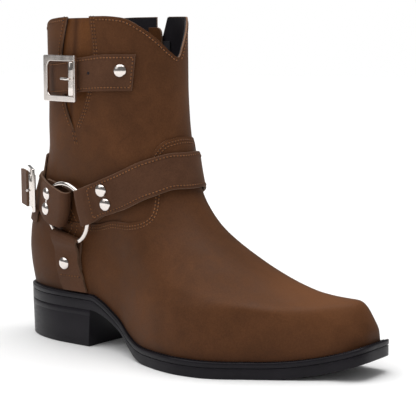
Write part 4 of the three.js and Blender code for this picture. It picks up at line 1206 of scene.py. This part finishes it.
# Zip
class BOOT_OT_zip(bpy.types.Operator):
    """Builds the zip's tape, its teeth and the tab inside its top"""

    bl_idname = "boot.zip"
    bl_label = "Zip"

    def band(self, columns, rows, front, back, foot, top, lift):
        def place(u, v):
            section = foot + (top - foot) * v
            start = turn_at(section, sizes().zip_place + front)
            end = turn_at(section, sizes().zip_place - back)
            return skin().at(start + (end - start) * u, section, lift)

        return sheet_mesh(columns, rows, place)

    def execute(self, context):
        kit = finishes()
        half = 13.5 * MM
        depth = sizes().wall + 0.3 * MM
        top = ZIP["slider"] + 0.1
        tape = object_of("zip_tape_woven", self.band(18, 160, half, half, ZIP["foot"] - 0.25, top, -depth), kit["tape_weave"])
        thicken(tape, 0.9 * MM, -1, bevel=0.2 * MM)
        hand_in(tape, "zip_fabric", "zip_tape")
        hand_in(self.teeth(kit, top), "zip_fabric", "zip_teeth")
        hand_in(self.guard(kit), "boot_leather", "zip_guard")
        for name in ("zip_slider", "zip_pull"):
            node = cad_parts[name]
            for place in node.material_slots:
                place.material = kit["bright_steel"]
        return {"FINISHED"}

    def teeth(self, kit, top):
        pitch = 1.3 * MM
        sections = np.linspace(ZIP["foot"] + 0.1, top, 900)
        centre = turn_at(sections, sizes().zip_place)
        points = skin().at(centre, sections, -1.25 * MM)
        run = np.concatenate([[0], np.cumsum(np.linalg.norm(np.diff(points, axis=0), axis=1))])
        count = int(run[-1] / pitch)
        bm = bmesh.new()
        for k in range(count):
            at = np.interp((k + 0.5) * pitch, run, sections)
            place = stand(float(np.interp(at, sections, centre)), at, -1.3 * MM)
            side = 1 if k % 2 else -1
            shift = Matrix.Translation((side * 0.75 * MM, 0, 0))
            shape = Matrix.Diagonal((3.4 * MM, 0.85 * MM, 1.5 * MM, 1))
            bmesh.ops.create_cube(bm, size=1, matrix=place @ shift @ shape)
        obj = object_of("zip_coil", bm, kit["sole_black"])
        soften(obj, 0.2 * MM, 1, 40)
        return obj

    def guard(self, kit):
        foot, top = 11.85, 12.6
        depth = sizes().wall + 1.5 * MM

        def place(u, v):
            section = foot + (top - foot) * v
            corner = np.sqrt(np.clip(1 - np.abs(2 * v - 1) ** 4, 0.02, 1))
            start = turn_at(section, sizes().zip_place + 5.5 * MM * corner)
            end = turn_at(section, sizes().zip_place - 9 * MM)
            return skin().at(start + (end - start) * u, section, -depth)

        obj = object_of("zip_tab", sheet_mesh(16, 24, place), [kit["gusset_leather"], kit["strap_edge"]])
        # Painted shade: the tab, set inside the collar, is evenly darkened a quarter of the way
        painted_shade(obj, np.full(len(obj.data.vertices), 0.25))
        thicken(obj, 1.8 * MM, -1, rim=1, bevel=0.5 * MM)
        return obj


# Straps
def strap_value(rows, column, index):
    return curve(rows, "index", column, index)


def strap_place(rows, index, across, lift):
    """A point over the upper at an index along a strap, a share across it and a lift."""
    low, high = strap_value(rows, "lowTurn", index), strap_value(rows, "highTurn", index)
    turn = low + (high - low) * across
    low, high = strap_value(rows, "low", index), strap_value(rows, "high", index)
    section = low + (high - low) * across
    return skin().at(turn, section, lift)


def top_lift(rows, index, layer=0.5):
    """Lift of a strap's outer layer, at a share of that layer's thickness below its top."""
    rest, body = strap_value(rows, "rest", index), strap_value(rows, "body", index)
    return (rest + body - layer) * sizes().strap_thickness


def fold_path(rows, under_end):
    """Index and lift along a strap that comes back under itself round the ring."""
    thickness = sizes().strap_thickness
    middle = strap_place(rows, np.array([0.0, 1.0]), np.array([0.5, 0.5]), np.zeros(2))
    span = float(np.linalg.norm(middle[1] - middle[0]))
    start = 0.3
    for _ in range(8):
        top = float(top_lift(rows, np.array([start]))[0])
        under = float(strap_value(rows, "rest", np.array([start]))[0] + 0.5) * thickness
        radius = (top - under) / 2
        start = radius * 0.9 / span
    back = np.linspace(under_end, start, 26)[:-1]
    back_lift = (strap_value(rows, "rest", back) + 0.5) * thickness
    phi = np.linspace(0, math.pi, 22)[:-1]
    turn_index = start - start * np.sin(phi)
    turn_lift = (top + under) / 2 - radius * np.cos(phi)
    last = rows[-1]["index"]
    front = np.linspace(start, last, 26 * last)
    front_lift = top_lift(rows, front)
    return np.concatenate([back, turn_index, front]), np.concatenate([back_lift, turn_lift, front_lift])


def strap_sheet(name, rows, path, lift, kit, flip, across=14, sway=0.12):
    """A strap along a path of indexes and lifts, slightly crowned across its width."""
    shares = np.linspace(0, 1, across + 1)
    crown = -sway * MM * (2 * shares - 1) ** 4
    grid = strap_place(rows, path[:, None], shares[None, :], lift[:, None] + crown[None, :])
    for _ in range(10):
        grid[1:-1] += 0.5 * ((grid[:-2] + grid[2:]) / 2 - grid[1:-1])

    def place(u, v):
        return grid[np.round(u * (len(path) - 1)).astype(int), np.round(v * across).astype(int)]

    obj = object_of(name, sheet_mesh(len(path) - 1, across, place, flip=flip), [kit["harness_leather"], kit["strap_edge"]])
    painted_shade(obj, np.zeros(len(obj.data.vertices)))
    thicken(obj, sizes().strap_thickness, 0, rim=1, bevel=0.45 * MM, segments=3)
    return obj


class BOOT_OT_straps(bpy.types.Operator):
    """Builds the top strap, the harness straps folded round the ring and the keeper"""

    bl_idname = "boot.straps"
    bl_label = "Straps"

    def execute(self, context):
        kit = finishes()
        plain = np.linspace(0, 8, 190)
        lift = top_lift(TOP_STRAP, plain)
        hand_in(strap_sheet("top_strap_leather", TOP_STRAP, plain, lift, kit, True), "strap_leather", "top_strap")
        folds = (
            ("instep_strap_leather", INSTEP_STRAP, 3.2, False, "instep_strap"),
            ("heel_strap_leather", HEEL_STRAP, 3.0, True, "heel_strap"),
            ("lower_strap_leather", LOWER_STRAP, 3.4, False, "lower_strap"),
        )
        for name, rows, under_end, flip, node in folds:
            path, lift = fold_path(rows, under_end)
            hand_in(strap_sheet(name, rows, path, lift, kit, flip), "strap_leather", node)
        plain = np.linspace(0, 5, 60)
        thin = sizes().strap_thickness * 0.65
        lift = strap_value(KEEPER, "rest", plain) * sizes().strap_thickness + thin / 2
        keeper = strap_sheet("keeper_leather", KEEPER, plain, lift, kit, False)
        keeper.modifiers["Wall"].thickness = thin
        hand_in(keeper, "strap_leather", "back_keeper")
        hand_in(self.tip(kit), "strap_leather", "heel_strap_tip")
        return {"FINISHED"}

    def tip(self, kit):
        """The free end of the heel strap, out through its buckle."""
        place = heel_buckle_place()
        half = BUCKLE["height"] / 2 - 3 * MM
        path = table("step along up", (0, 0.03, 1.76), (1, -0.15, 1.91), (2, -0.40, 2.26), (3, -0.62, 2.61))

        def lay(u, v):
            step = 3 * u
            along = curve(path, "step", "along", step) * BUCKLE["length"]
            up = curve(path, "step", "up", step) * BUCKLE["thickness"]
            point = np.stack([along, half * (2 * v - 1), up, np.ones_like(u)], axis=-1)
            return (point @ np.array(place.transposed()))[:, :3]

        obj = object_of("heel_strap_end", sheet_mesh(24, 12, lay, flip=True), [kit["harness_leather"], kit["strap_edge"]])
        painted_shade(obj, np.zeros(len(obj.data.vertices)))
        thicken(obj, sizes().strap_thickness, 0, rim=1, bevel=0.45 * MM, segments=3)
        return obj


# Metal
BUCKLE = {"length": 37 * MM, "height": 34.5 * MM, "bar": 4.4 * MM, "thickness": 2.4 * MM}
HEEL_BUCKLE = {"turn": 0.095, "section": 6.47, "lift": 8.8 * MM, "out": (-0.64, -0.77, 0), "roller": 15.5 * MM}
RING_AT = {"turn": 0.185, "section": 6.09, "lift": 6.5 * MM, "shift": -2 * MM, "tilt": -0.03}


def heel_buckle_place():
    """The heel buckle stands upright against the strap behind the ankle."""
    out = Vector(HEEL_BUCKLE["out"]).normalized()
    up = Vector((0, 0, 1))
    place = Matrix((up.cross(out), up, out)).transposed().to_4x4()
    spot = skin().at(np.array([HEEL_BUCKLE["turn"]]), np.array([HEEL_BUCKLE["section"]]), HEEL_BUCKLE["lift"])
    place.translation = Vector(spot[0])
    return place @ Matrix.Translation((-HEEL_BUCKLE["roller"], 0, 0))


def top_buckle_place():
    return stand(0.21, 11.09, 4.2 * MM) @ Matrix.Translation((-3.5 * MM, 0, 0))


def rounded_loop(bm, left, right, half, corners, height):
    """A loop of vertices round a rectangle; corners are the radii from lower left, anticlockwise."""
    verts = []
    spots = ((left, -half, 180), (right, -half, 270), (right, half, 0), (left, half, 90))
    for (x, y, start), radius in zip(spots, corners):
        centre_x = x + radius if x < 0 else x - radius
        centre_y = y + radius if y < 0 else y - radius
        for k in range(7):
            a = math.radians(start + 15 * k)
            verts.append(bm.verts.new((centre_x + radius * math.cos(a), centre_y + radius * math.sin(a), height)))
    return [bm.edges.new((verts[k], verts[(k + 1) % len(verts)])) for k in range(len(verts))]


def buckle_frame(name, place, steel):
    bm = bmesh.new()
    half_l, half_h, bar = BUCKLE["length"] / 2, BUCKLE["height"] / 2, BUCKLE["bar"]
    outer = rounded_loop(bm, -half_l, half_l, half_h, [0.9 * MM] * 4, 0)
    corners = [4.5 * MM, 0.8 * MM, 0.8 * MM, 4.5 * MM]
    inner = rounded_loop(bm, -half_l + bar, half_l - 1.3 * MM, half_h - bar, corners, 0)
    bmesh.ops.bridge_loops(bm, edges=outer + inner)
    made = bmesh.ops.extrude_face_region(bm, geom=bm.faces[:])
    lifted = [item for item in made["geom"] if isinstance(item, bmesh.types.BMVert)]
    bmesh.ops.translate(bm, verts=lifted, vec=(0, 0, BUCKLE["thickness"]))
    bmesh.ops.recalc_face_normals(bm, faces=bm.faces)
    for side in (-1, 1):
        # An ear at each end of the roller
        spot = Matrix.Translation((half_l - 2.6 * MM, side * (half_h - 2.2 * MM), BUCKLE["thickness"] * 0.62))
        bmesh.ops.create_cube(bm, size=1, matrix=spot @ Matrix.Diagonal((4.6 * MM, 4.0 * MM, 2.2 * MM, 1)))
    bmesh.ops.transform(bm, matrix=place, verts=bm.verts)
    obj = object_of(name, bm, steel)
    soften(obj, 0.5 * MM, 3, 40)
    return obj


def spun(profile, steps, steel, name, place):
    """A turned piece: a profile of (radius, height) spun round the local z axis."""
    bm = bmesh.new()
    verts = [bm.verts.new((radius, 0, height)) for radius, height in profile]
    edges = [bm.edges.new(pair) for pair in zip(verts[:-1], verts[1:])]
    geom = verts + edges
    bmesh.ops.spin(bm, geom=geom, cent=(0, 0, 0), axis=(0, 0, 1), angle=2 * math.pi, steps=steps, use_merge=True)
    bmesh.ops.remove_doubles(bm, verts=bm.verts, dist=1e-7)
    bmesh.ops.recalc_face_normals(bm, faces=bm.faces)
    bmesh.ops.transform(bm, matrix=place, verts=bm.verts)
    return object_of(name, bm, steel)


def roller(name, place, steel):
    radius, half = 2.6 * MM, BUCKLE["height"] / 2 - BUCKLE["bar"] - 0.3 * MM
    profile = [(0, -half), (radius - 0.4 * MM, -half), (radius, -half + 0.4 * MM), (radius, -half * 0.5), (radius, 0)]
    profile += [(r, -h) for r, h in reversed(profile[:-1])]
    spot = Matrix.Translation((BUCKLE["length"] / 2 - 4.1 * MM, 0, BUCKLE["thickness"] / 2 + 0.4 * MM))
    return spun(profile, 32, steel, name, place @ spot @ Matrix.Rotation(math.radians(90), 4, "X"))


def prong(name, place, steel):
    roller_x = BUCKLE["length"] / 2 - 3 * MM
    crest = BUCKLE["thickness"] / 2 + 0.4 * MM + 3.0 * MM + 0.3 * MM + 1.1 * MM
    rows = table(
        "step x z r",
        (0, roller_x - 12 * MM, 3.0 * MM, 1.1 * MM),
        (1, roller_x - 8 * MM, 4.4 * MM, 1.1 * MM),
        (2, roller_x - 3.5 * MM, crest - 0.2 * MM, 1.05 * MM),
        (3, roller_x + 0.6 * MM, crest - 0.1 * MM, 0.85 * MM),
        (4, roller_x + 1.2 * MM, crest - 0.15 * MM, 0.3 * MM),
    )

    def lay(u, v):
        step = 4 * u
        x, z, r = (curve(rows, "step", key, step) for key in ("x", "z", "r"))
        angle = 2 * math.pi * v
        y = r * np.cos(angle)
        return np.stack([x, y, z + r * np.sin(angle)], axis=-1)

    bm = sheet_mesh(24, 12, lay)
    bmesh.ops.holes_fill(bm, edges=bm.edges, sides=12)
    bmesh.ops.recalc_face_normals(bm, faces=bm.faces)
    bmesh.ops.transform(bm, matrix=place, verts=bm.verts)
    return object_of(name, bm, steel)


def strap_frame(rows, index, across, lift):
    """A frame on a strap's own surface, with its slope."""
    def spot(i, a):
        height = top_lift(rows, np.array([i]), 0) + lift
        return Vector(strap_place(rows, np.array([i]), np.array([a]), height)[0])

    centre = spot(index, across)
    along = (spot(index + 0.12, across) - spot(index - 0.12, across)).normalized()
    over = spot(index, across + 0.06) - spot(index, across - 0.06)
    out = along.cross(over).normalized()
    outward = Vector(skin().normal(np.array([strap_value(rows, "lowTurn", index)]), np.array([strap_value(rows, "low", index)]))[0])
    if out.dot(outward) < 0:
        out = -out
    over = out.cross(along)
    place = Matrix((along, over, out)).transposed().to_4x4()
    place.translation = centre
    return place


RIVETS = (
    ("rivet_top", TOP_STRAP, 0.49, 0.55),
    ("rivet_instep_upper", INSTEP_STRAP, 2.65, 0.72),
    ("rivet_instep_lower", INSTEP_STRAP, 2.75, 0.32),
    ("rivet_heel_upper", HEEL_STRAP, 1.90, 0.76),
    ("rivet_heel_lower", HEEL_STRAP, 1.95, 0.36),
    ("rivet_lower", LOWER_STRAP, 3.0, 0.42),
)


STRAP_HOLE = {"index": 1.72, "across": 0.52, "radius": 1.15 * MM}


class BOOT_OT_metal(bpy.types.Operator):
    """Builds the buckles, the ring and the rivets"""

    bl_idname = "boot.metal"
    bl_label = "Metal"

    def execute(self, context):
        steel = finishes()["bright_steel"]
        for key, place in (("top_buckle", top_buckle_place()), ("heel_buckle", heel_buckle_place())):
            hand_in(buckle_frame(f"{key}_steel", place, steel), "steel", f"{key}_frame")
            hand_in(roller(f"{key}_roller_steel", place, steel), "steel", f"{key}_roller")
            hand_in(prong(f"{key}_prong_steel", place, steel), "steel", f"{key}_prong")
        hand_in(self.ring(steel), "steel", "harness_ring")
        # Painted shade: a black disc stands for the shadowed inside of the strap's punched hole
        hole = strap_frame(TOP_STRAP, STRAP_HOLE["index"], STRAP_HOLE["across"], 0)
        radius = STRAP_HOLE["radius"]
        profile = [(0, -0.4 * MM), (radius, -0.4 * MM), (radius, 0.06 * MM), (0, 0.03 * MM)]
        punched = spun(profile, 20, finishes()["sole_black"], "strap_hole_shade", hole)
        hand_in(punched, "strap_leather")
        for name, rows, index, across in RIVETS:
            place = strap_frame(rows, index, across, 0.1 * MM)
            hand_in(self.rivet(f"{name}_steel", place, steel), "steel", name)
        return {"FINISHED"}

    def ring(self, steel):
        wire = sizes().ring_wire / 2
        radius = sizes().ring_diameter / 2 - wire
        place = stand(RING_AT["turn"], RING_AT["section"], RING_AT["lift"])
        place = place @ Matrix.Translation((RING_AT["shift"], 0, 0)) @ Matrix.Rotation(RING_AT["tilt"], 4, "X")
        angles = np.linspace(0, 2 * math.pi, 17)
        profile = [(radius + wire * math.cos(a), wire * math.sin(a)) for a in angles]
        return spun(profile, 112, steel, "ring_steel", place)

    def rivet(self, name, place, steel):
        radius, height = 5 * MM, 2.5 * MM
        profile = [(0, -0.3 * MM), (radius, -0.3 * MM), (radius, 0.25 * MM)]
        for k in range(9):
            a = math.radians(10 * k + 10)
            profile.append((radius * 0.97 * math.cos(a), 0.3 * MM + (height - 0.3 * MM) * math.sin(a)))
        profile[-1] = (0, height)
        return spun(profile, 40, steel, name, place)


# Stitches
NEEDLE_HOLE = 0.9 * MM


def stitches(name, lines, material, pitch=None, length=None, radius=0.48 * MM, shift=0.0):
    """Short rounded stitches at a pitch along lines of (points, outward directions)."""
    pitch = pitch or sizes().stitch_pitch
    length = length or pitch * 0.80
    whole = bmesh.new()
    for points, outs in lines:
        steps = np.linalg.norm(np.diff(points, axis=0), axis=1)
        run = np.concatenate([[0], np.cumsum(steps)])
        count = max(int(run[-1] / pitch), 1)
        row = bmesh.new()
        for k in range(count):
            at = (k + 0.5 + shift) * run[-1] / count
            centre = Vector([float(np.interp(at, run, points[:, axis])) for axis in range(3)])
            ahead = Vector([float(np.interp(at + 0.4 * pitch, run, points[:, axis])) for axis in range(3)])
            behind = Vector([float(np.interp(at - 0.4 * pitch, run, points[:, axis])) for axis in range(3)])
            out = Vector([float(np.interp(at, run, outs[:, axis])) for axis in range(3)]).normalized()
            along = (ahead - behind).normalized()
            over = out.cross(along).normalized()
            place = Matrix((along, over, over.cross(along) * -1)).transposed().to_4x4()
            place.translation = centre
            shape = Matrix.Diagonal((length / 2, radius, radius * 0.8, 1))
            bmesh.ops.create_uvsphere(row, u_segments=6, v_segments=5, radius=1, matrix=place @ shape @ LIE_ALONG)
        mesh = bpy.data.meshes.new("row")
        row.to_mesh(mesh)
        row.free()
        whole.from_mesh(mesh)
        bpy.data.meshes.remove(mesh)
    bmesh.ops.recalc_face_normals(whole, faces=whole.faces)
    return object_of(name, whole, material)


LIE_ALONG = Matrix.Rotation(math.radians(90), 4, "Y")


COUNTER_SEAM = table(
    "section turn", (4.0, 0.156), (4.6, 0.165), (5.3, 0.175), (5.9, 0.173), (6.4, 0.168)
)


def on_upper(turn, section, lift):
    turn, section = np.asarray(turn, dtype=float), np.asarray(section, dtype=float)
    return skin().at(turn, section, np.broadcast_to(lift, turn.shape)), skin().normal(turn, section)


def below_edge(start, end, edge, distance, lift, count=400):
    """A line round the upper at a distance below an edge that depends on the turn."""
    turn = np.linspace(start, end, count)
    section = edge(turn)
    points, normals = on_upper(turn, section, lift)
    along = np.gradient(points, axis=0)
    along /= np.linalg.norm(along, axis=1, keepdims=True)
    down = np.cross(along, normals)
    return points + down * distance, normals


def on_strap(rows, start, end, across, count=200):
    index = np.linspace(start, end, count)
    share = np.full(count, across)
    lift = top_lift(rows, index, 0) + 0.02 * MM
    points = strap_place(rows, index, share, lift)
    low, high = strap_value(rows, "lowTurn", index), strap_value(rows, "highTurn", index)
    section = strap_value(rows, "low", index)
    return points, skin().normal((low + high) / 2, section)


def cross_strap(rows, index, start, end, count=60):
    across = np.linspace(start, end, count)
    where = np.full(count, float(index))
    points = strap_place(rows, where, across, top_lift(rows, where, 0) + 0.02 * MM)
    low, high = strap_value(rows, "lowTurn", where), strap_value(rows, "highTurn", where)
    section = strap_value(rows, "low", where)
    return points, skin().normal(low + (high - low) * across, section)


class BOOT_OT_stitching(bpy.types.Operator):
    """Sews the rows of stitches on the upper and the straps"""

    bl_idname = "boot.stitching"
    bl_label = "Stitching"

    def execute(self, context):
        kit = finishes()
        for name, lines, slot in (
            ("upper", self.upper_lines(), "boot_leather"),
            ("strap", self.strap_lines(), "strap_leather"),
        ):
            hand_in(stitches(f"{name}_stitches", lines, kit["thread"]), slot)
            # Painted shade: black beads between the stitches stand for the shadowed needle holes
            hand_in(stitches(f"{name}_needle_hole_shade", lines, kit["black_lining"], length=NEEDLE_HOLE, shift=0.5), slot)
        return {"FINISHED"}

    def upper_lines(self):
        seat = 0.05 * MM
        over = sizes().overlay + seat
        lines = []
        # Collar, on both sides of the gusset and of the zip
        lines.append(below_edge(0.285, 0.497, collar_section, 2.6 * MM, seat))
        lines.append(below_edge(0.503, 0.70, collar_section, 2.6 * MM, seat))
        lines.append(below_edge(-0.20, 0.195, collar_section, 2.6 * MM, seat))
        # Vamp and counter, twice
        for distance in (2.4 * MM, 4.7 * MM):
            lines.append(below_edge(0.19, 0.80, overlay_section, distance, over, 700))
        # Counter's seam, seen through the ring
        sections = np.linspace(4.2, 6.3, 120)
        seam = curve(COUNTER_SEAM, "section", "turn", sections)
        for shift in (-0.004, 0.0045):
            lines.append(on_upper(seam + shift, sections, np.where(sections < overlay_section(seam), over, seat)))
        # Gusset's seam: two rows in front, one behind
        sections = np.linspace(GUSSET_FOOT + 0.1, 12.9, 160)
        end = curve(GUSSET, "section", "end", sections)
        start = curve(GUSSET, "section", "start", sections)
        for shift in (0.0065, 0.0125):
            lines.append(on_upper(end + shift, sections, seat))
        lines.append(on_upper(start - 0.0065, sections, seat))
        # Bartack below the gusset's point
        tack = np.linspace(GUSSET_FOOT - 0.5, GUSSET_FOOT - 0.05, 20)
        for shift in (-0.004, 0.003):
            lines.append(on_upper(0.2185 + shift + 0.012 * (GUSSET_FOOT - tack), tack, seat))
        # Either side of the zip
        sections = np.linspace(ZIP["foot"], 12.8, 300)
        # Puts a piece on the body it rides on and hides the nodes it stands for; slot is not used.
        front, back = slot_edges(sections)
        thick = np.where(sections < overlay_section(front), over, seat)
        for turn in (front - 0.006, back + 0.006):
            points = skin().at(turn, sections, thick)
            lines.append((points, skin().normal(turn, sections)))
        return lines

    def strap_lines(self):
        lines = []
        for across in (0.09, 0.91):
            lines.append(on_strap(TOP_STRAP, 0.06, 7.9, across, 500))
            lines.append(on_strap(INSTEP_STRAP, 1.5, 9.9, across, 400))
            lines.append(on_strap(HEEL_STRAP, 4.4, 8.9, across, 300))
        lines.append(cross_strap(TOP_STRAP, 0.075, 0.09, 0.91))
        lines.append(cross_strap(INSTEP_STRAP, 1.5, 0.09, 0.91))
        lines.append(cross_strap(LOWER_STRAP, 3.75, 0.1, 0.9))
        lines.append(cross_strap(TOP_STRAP, 7.93, 0.09, 0.91))
        lines.append(cross_strap(INSTEP_STRAP, 9.9, 0.09, 0.91))
        lines.append(cross_strap(HEEL_STRAP, 8.9, 0.09, 0.91))
        return lines


# Stage
CAMERA = {"azimuth": 37.64, "elevation": 7.21, "roll": -0.42, "distance": 1.005, "focal": 1340.6}
CAMERA_TARGET = (0.1222, 0.0146, 0.1090)
SENSOR = 36.0
PHOTO_SIDE = 416


class BOOT_OT_stage(bpy.types.Operator):
    """Sets the floor, the lights and the camera"""

    bl_idname = "boot.stage"
    bl_label = "Stage"

    def execute(self, context):
        self.floor()
        self.lights()
        self.camera()
        context.scene.view_settings.view_transform = "Standard"
        return {"FINISHED"}

    def floor(self):
        bm = bmesh.new()
        bmesh.ops.create_grid(bm, x_segments=1, y_segments=1, size=6)
        material = bpy.data.materials.new("floor")
        tree, shader = links(material)
        # Painted shade: the floor is greyer near the boot and whiter farther off
        floor_shade = tree.nodes.new("ShaderNodeTexGradient")
        floor_shade.gradient_type = "SPHERICAL"
        tree.links.new(place_of(tree), floor_shade.inputs["Vector"])
        tone = ramp(tree, floor_shade.outputs["Color"], (0.15, (0.95, 0.95, 0.95)), (0.70, (0.80, 0.80, 0.80)))
        tree.links.new(tone, shader.inputs["Base Color"])
        shader.inputs["Roughness"].default_value = 0.9
        object_of("floor", bm, material)

    def lights(self):
        world = bpy.data.worlds.new("studio")
        world.use_nodes = True
        tree = world.node_tree
        backdrop = tree.nodes["Background"]
        backdrop.inputs["Color"].default_value = (1, 1, 1, 1)
        backdrop.inputs["Strength"].default_value = 1
        glow = tree.nodes.new("ShaderNodeBackground")
        glow.inputs["Color"].default_value = (1, 1, 1, 1)
        glow.inputs["Strength"].default_value = 0.5
        seen = tree.nodes.new("ShaderNodeLightPath")
        either = tree.nodes.new("ShaderNodeMixShader")
        tree.links.new(seen.outputs["Is Camera Ray"], either.inputs["Fac"])
        dim = tree.nodes.new("ShaderNodeBackground")
        dim.inputs["Color"].default_value = (1, 1, 1, 1)
        dim.inputs["Strength"].default_value = 0.15
        mirrored = tree.nodes.new("ShaderNodeMixShader")
        tree.links.new(seen.outputs["Is Glossy Ray"], mirrored.inputs["Fac"])
        tree.links.new(glow.outputs["Background"], mirrored.inputs[1])
        tree.links.new(dim.outputs["Background"], mirrored.inputs[2])
        tree.links.new(mirrored.outputs["Shader"], either.inputs[1])
        tree.links.new(backdrop.outputs["Background"], either.inputs[2])
        tree.links.new(either.outputs["Shader"], tree.nodes["World Output"].inputs["Surface"])
        bpy.context.scene.world = world
        target = Vector((0.09, 0.0, 0.10))
        for name, place, size, power in (
            ("key", (-0.6, -1.3, 1.0), 0.9, 2),
            ("toe", (0.30, 0.10, 1.1), 0.6, 4.0),
            ("back", (-1.3, 0.7, 0.9), 0.9, 2.5),
        ):
            data = bpy.data.lights.new(name, "AREA")
            data.shape = "SQUARE"
            data.size = size
            data.energy = power
            self.aim(bpy.data.objects.new(name, data), place, target)
        sun = bpy.data.lights.new("ceiling", "SUN")
        sun.energy = 2.1
        sun.angle = math.radians(70)
        self.aim(bpy.data.objects.new("ceiling", sun), (-0.1, -0.3, 1.4), target)

    def aim(self, lamp, place, target):
        lamp.location = place
        lamp.rotation_euler = (target - Vector(place)).to_track_quat("-Z", "Y").to_euler()
        bpy.context.scene.collection.objects.link(lamp)

    def camera(self):
        a, e = math.radians(CAMERA["azimuth"]), math.radians(CAMERA["elevation"])
        back = Vector((math.sin(a) * math.cos(e), -math.cos(a) * math.cos(e), math.sin(e)))
        right = Vector((math.cos(a), math.sin(a), 0))
        place = Matrix((right, back.cross(right), back)).transposed().to_4x4()
        place = place @ Matrix.Rotation(math.radians(CAMERA["roll"]), 4, "Z")
        place.translation = Vector(CAMERA_TARGET) + back * CAMERA["distance"]
        data = bpy.data.cameras.new("camera")
        data.sensor_width = SENSOR
        data.lens = CAMERA["focal"] / PHOTO_SIDE * SENSOR
        camera = bpy.data.objects.new("camera", data)
        camera.matrix_world = place
        bpy.context.scene.collection.objects.link(camera)
        bpy.context.scene.camera = camera


OPERATORS = (
    BOOT_OT_stage,
    BOOT_OT_sole,
    BOOT_OT_upper,
    BOOT_OT_zip,
    BOOT_OT_straps,
    BOOT_OT_metal,
    BOOT_OT_stitching,
)


class BOOT_PT_panel(bpy.types.Panel):
    """Lists the boot's sizes, colours and pieces"""

    bl_label = "Boot"
    bl_space_type = "VIEW_3D"
    bl_region_type = "UI"
    bl_category = "Boot"

    def draw(self, context):
        layout = self.layout
        for group in (context.scene.boot_sizes, context.scene.boot_colours):
            box = layout.box()
            for name in group.__annotations__:
                box.prop(group, name)
        for operator in OPERATORS:
            layout.operator(operator.bl_idname)


CLASSES = (BootSizes, BootColours, *OPERATORS, BOOT_PT_panel)


def register():
    for one in CLASSES:
        bpy.utils.register_class(one)
    bpy.types.Scene.boot_sizes = bpy.props.PointerProperty(type=BootSizes)
    bpy.types.Scene.boot_colours = bpy.props.PointerProperty(type=BootColours)


def unregister():
    del bpy.types.Scene.boot_colours
    del bpy.types.Scene.boot_sizes
    for one in reversed(CLASSES):
        bpy.utils.unregister_class(one)


def main():
    register()
    bpy.ops.boot.stage()
    bpy.ops.boot.sole()
    bpy.ops.boot.upper()
    bpy.ops.boot.zip()
    bpy.ops.boot.straps()
    bpy.ops.boot.metal()
    bpy.ops.boot.stitching()
    bpy.context.view_layer.update()


if __name__ == "__main__":
    main()
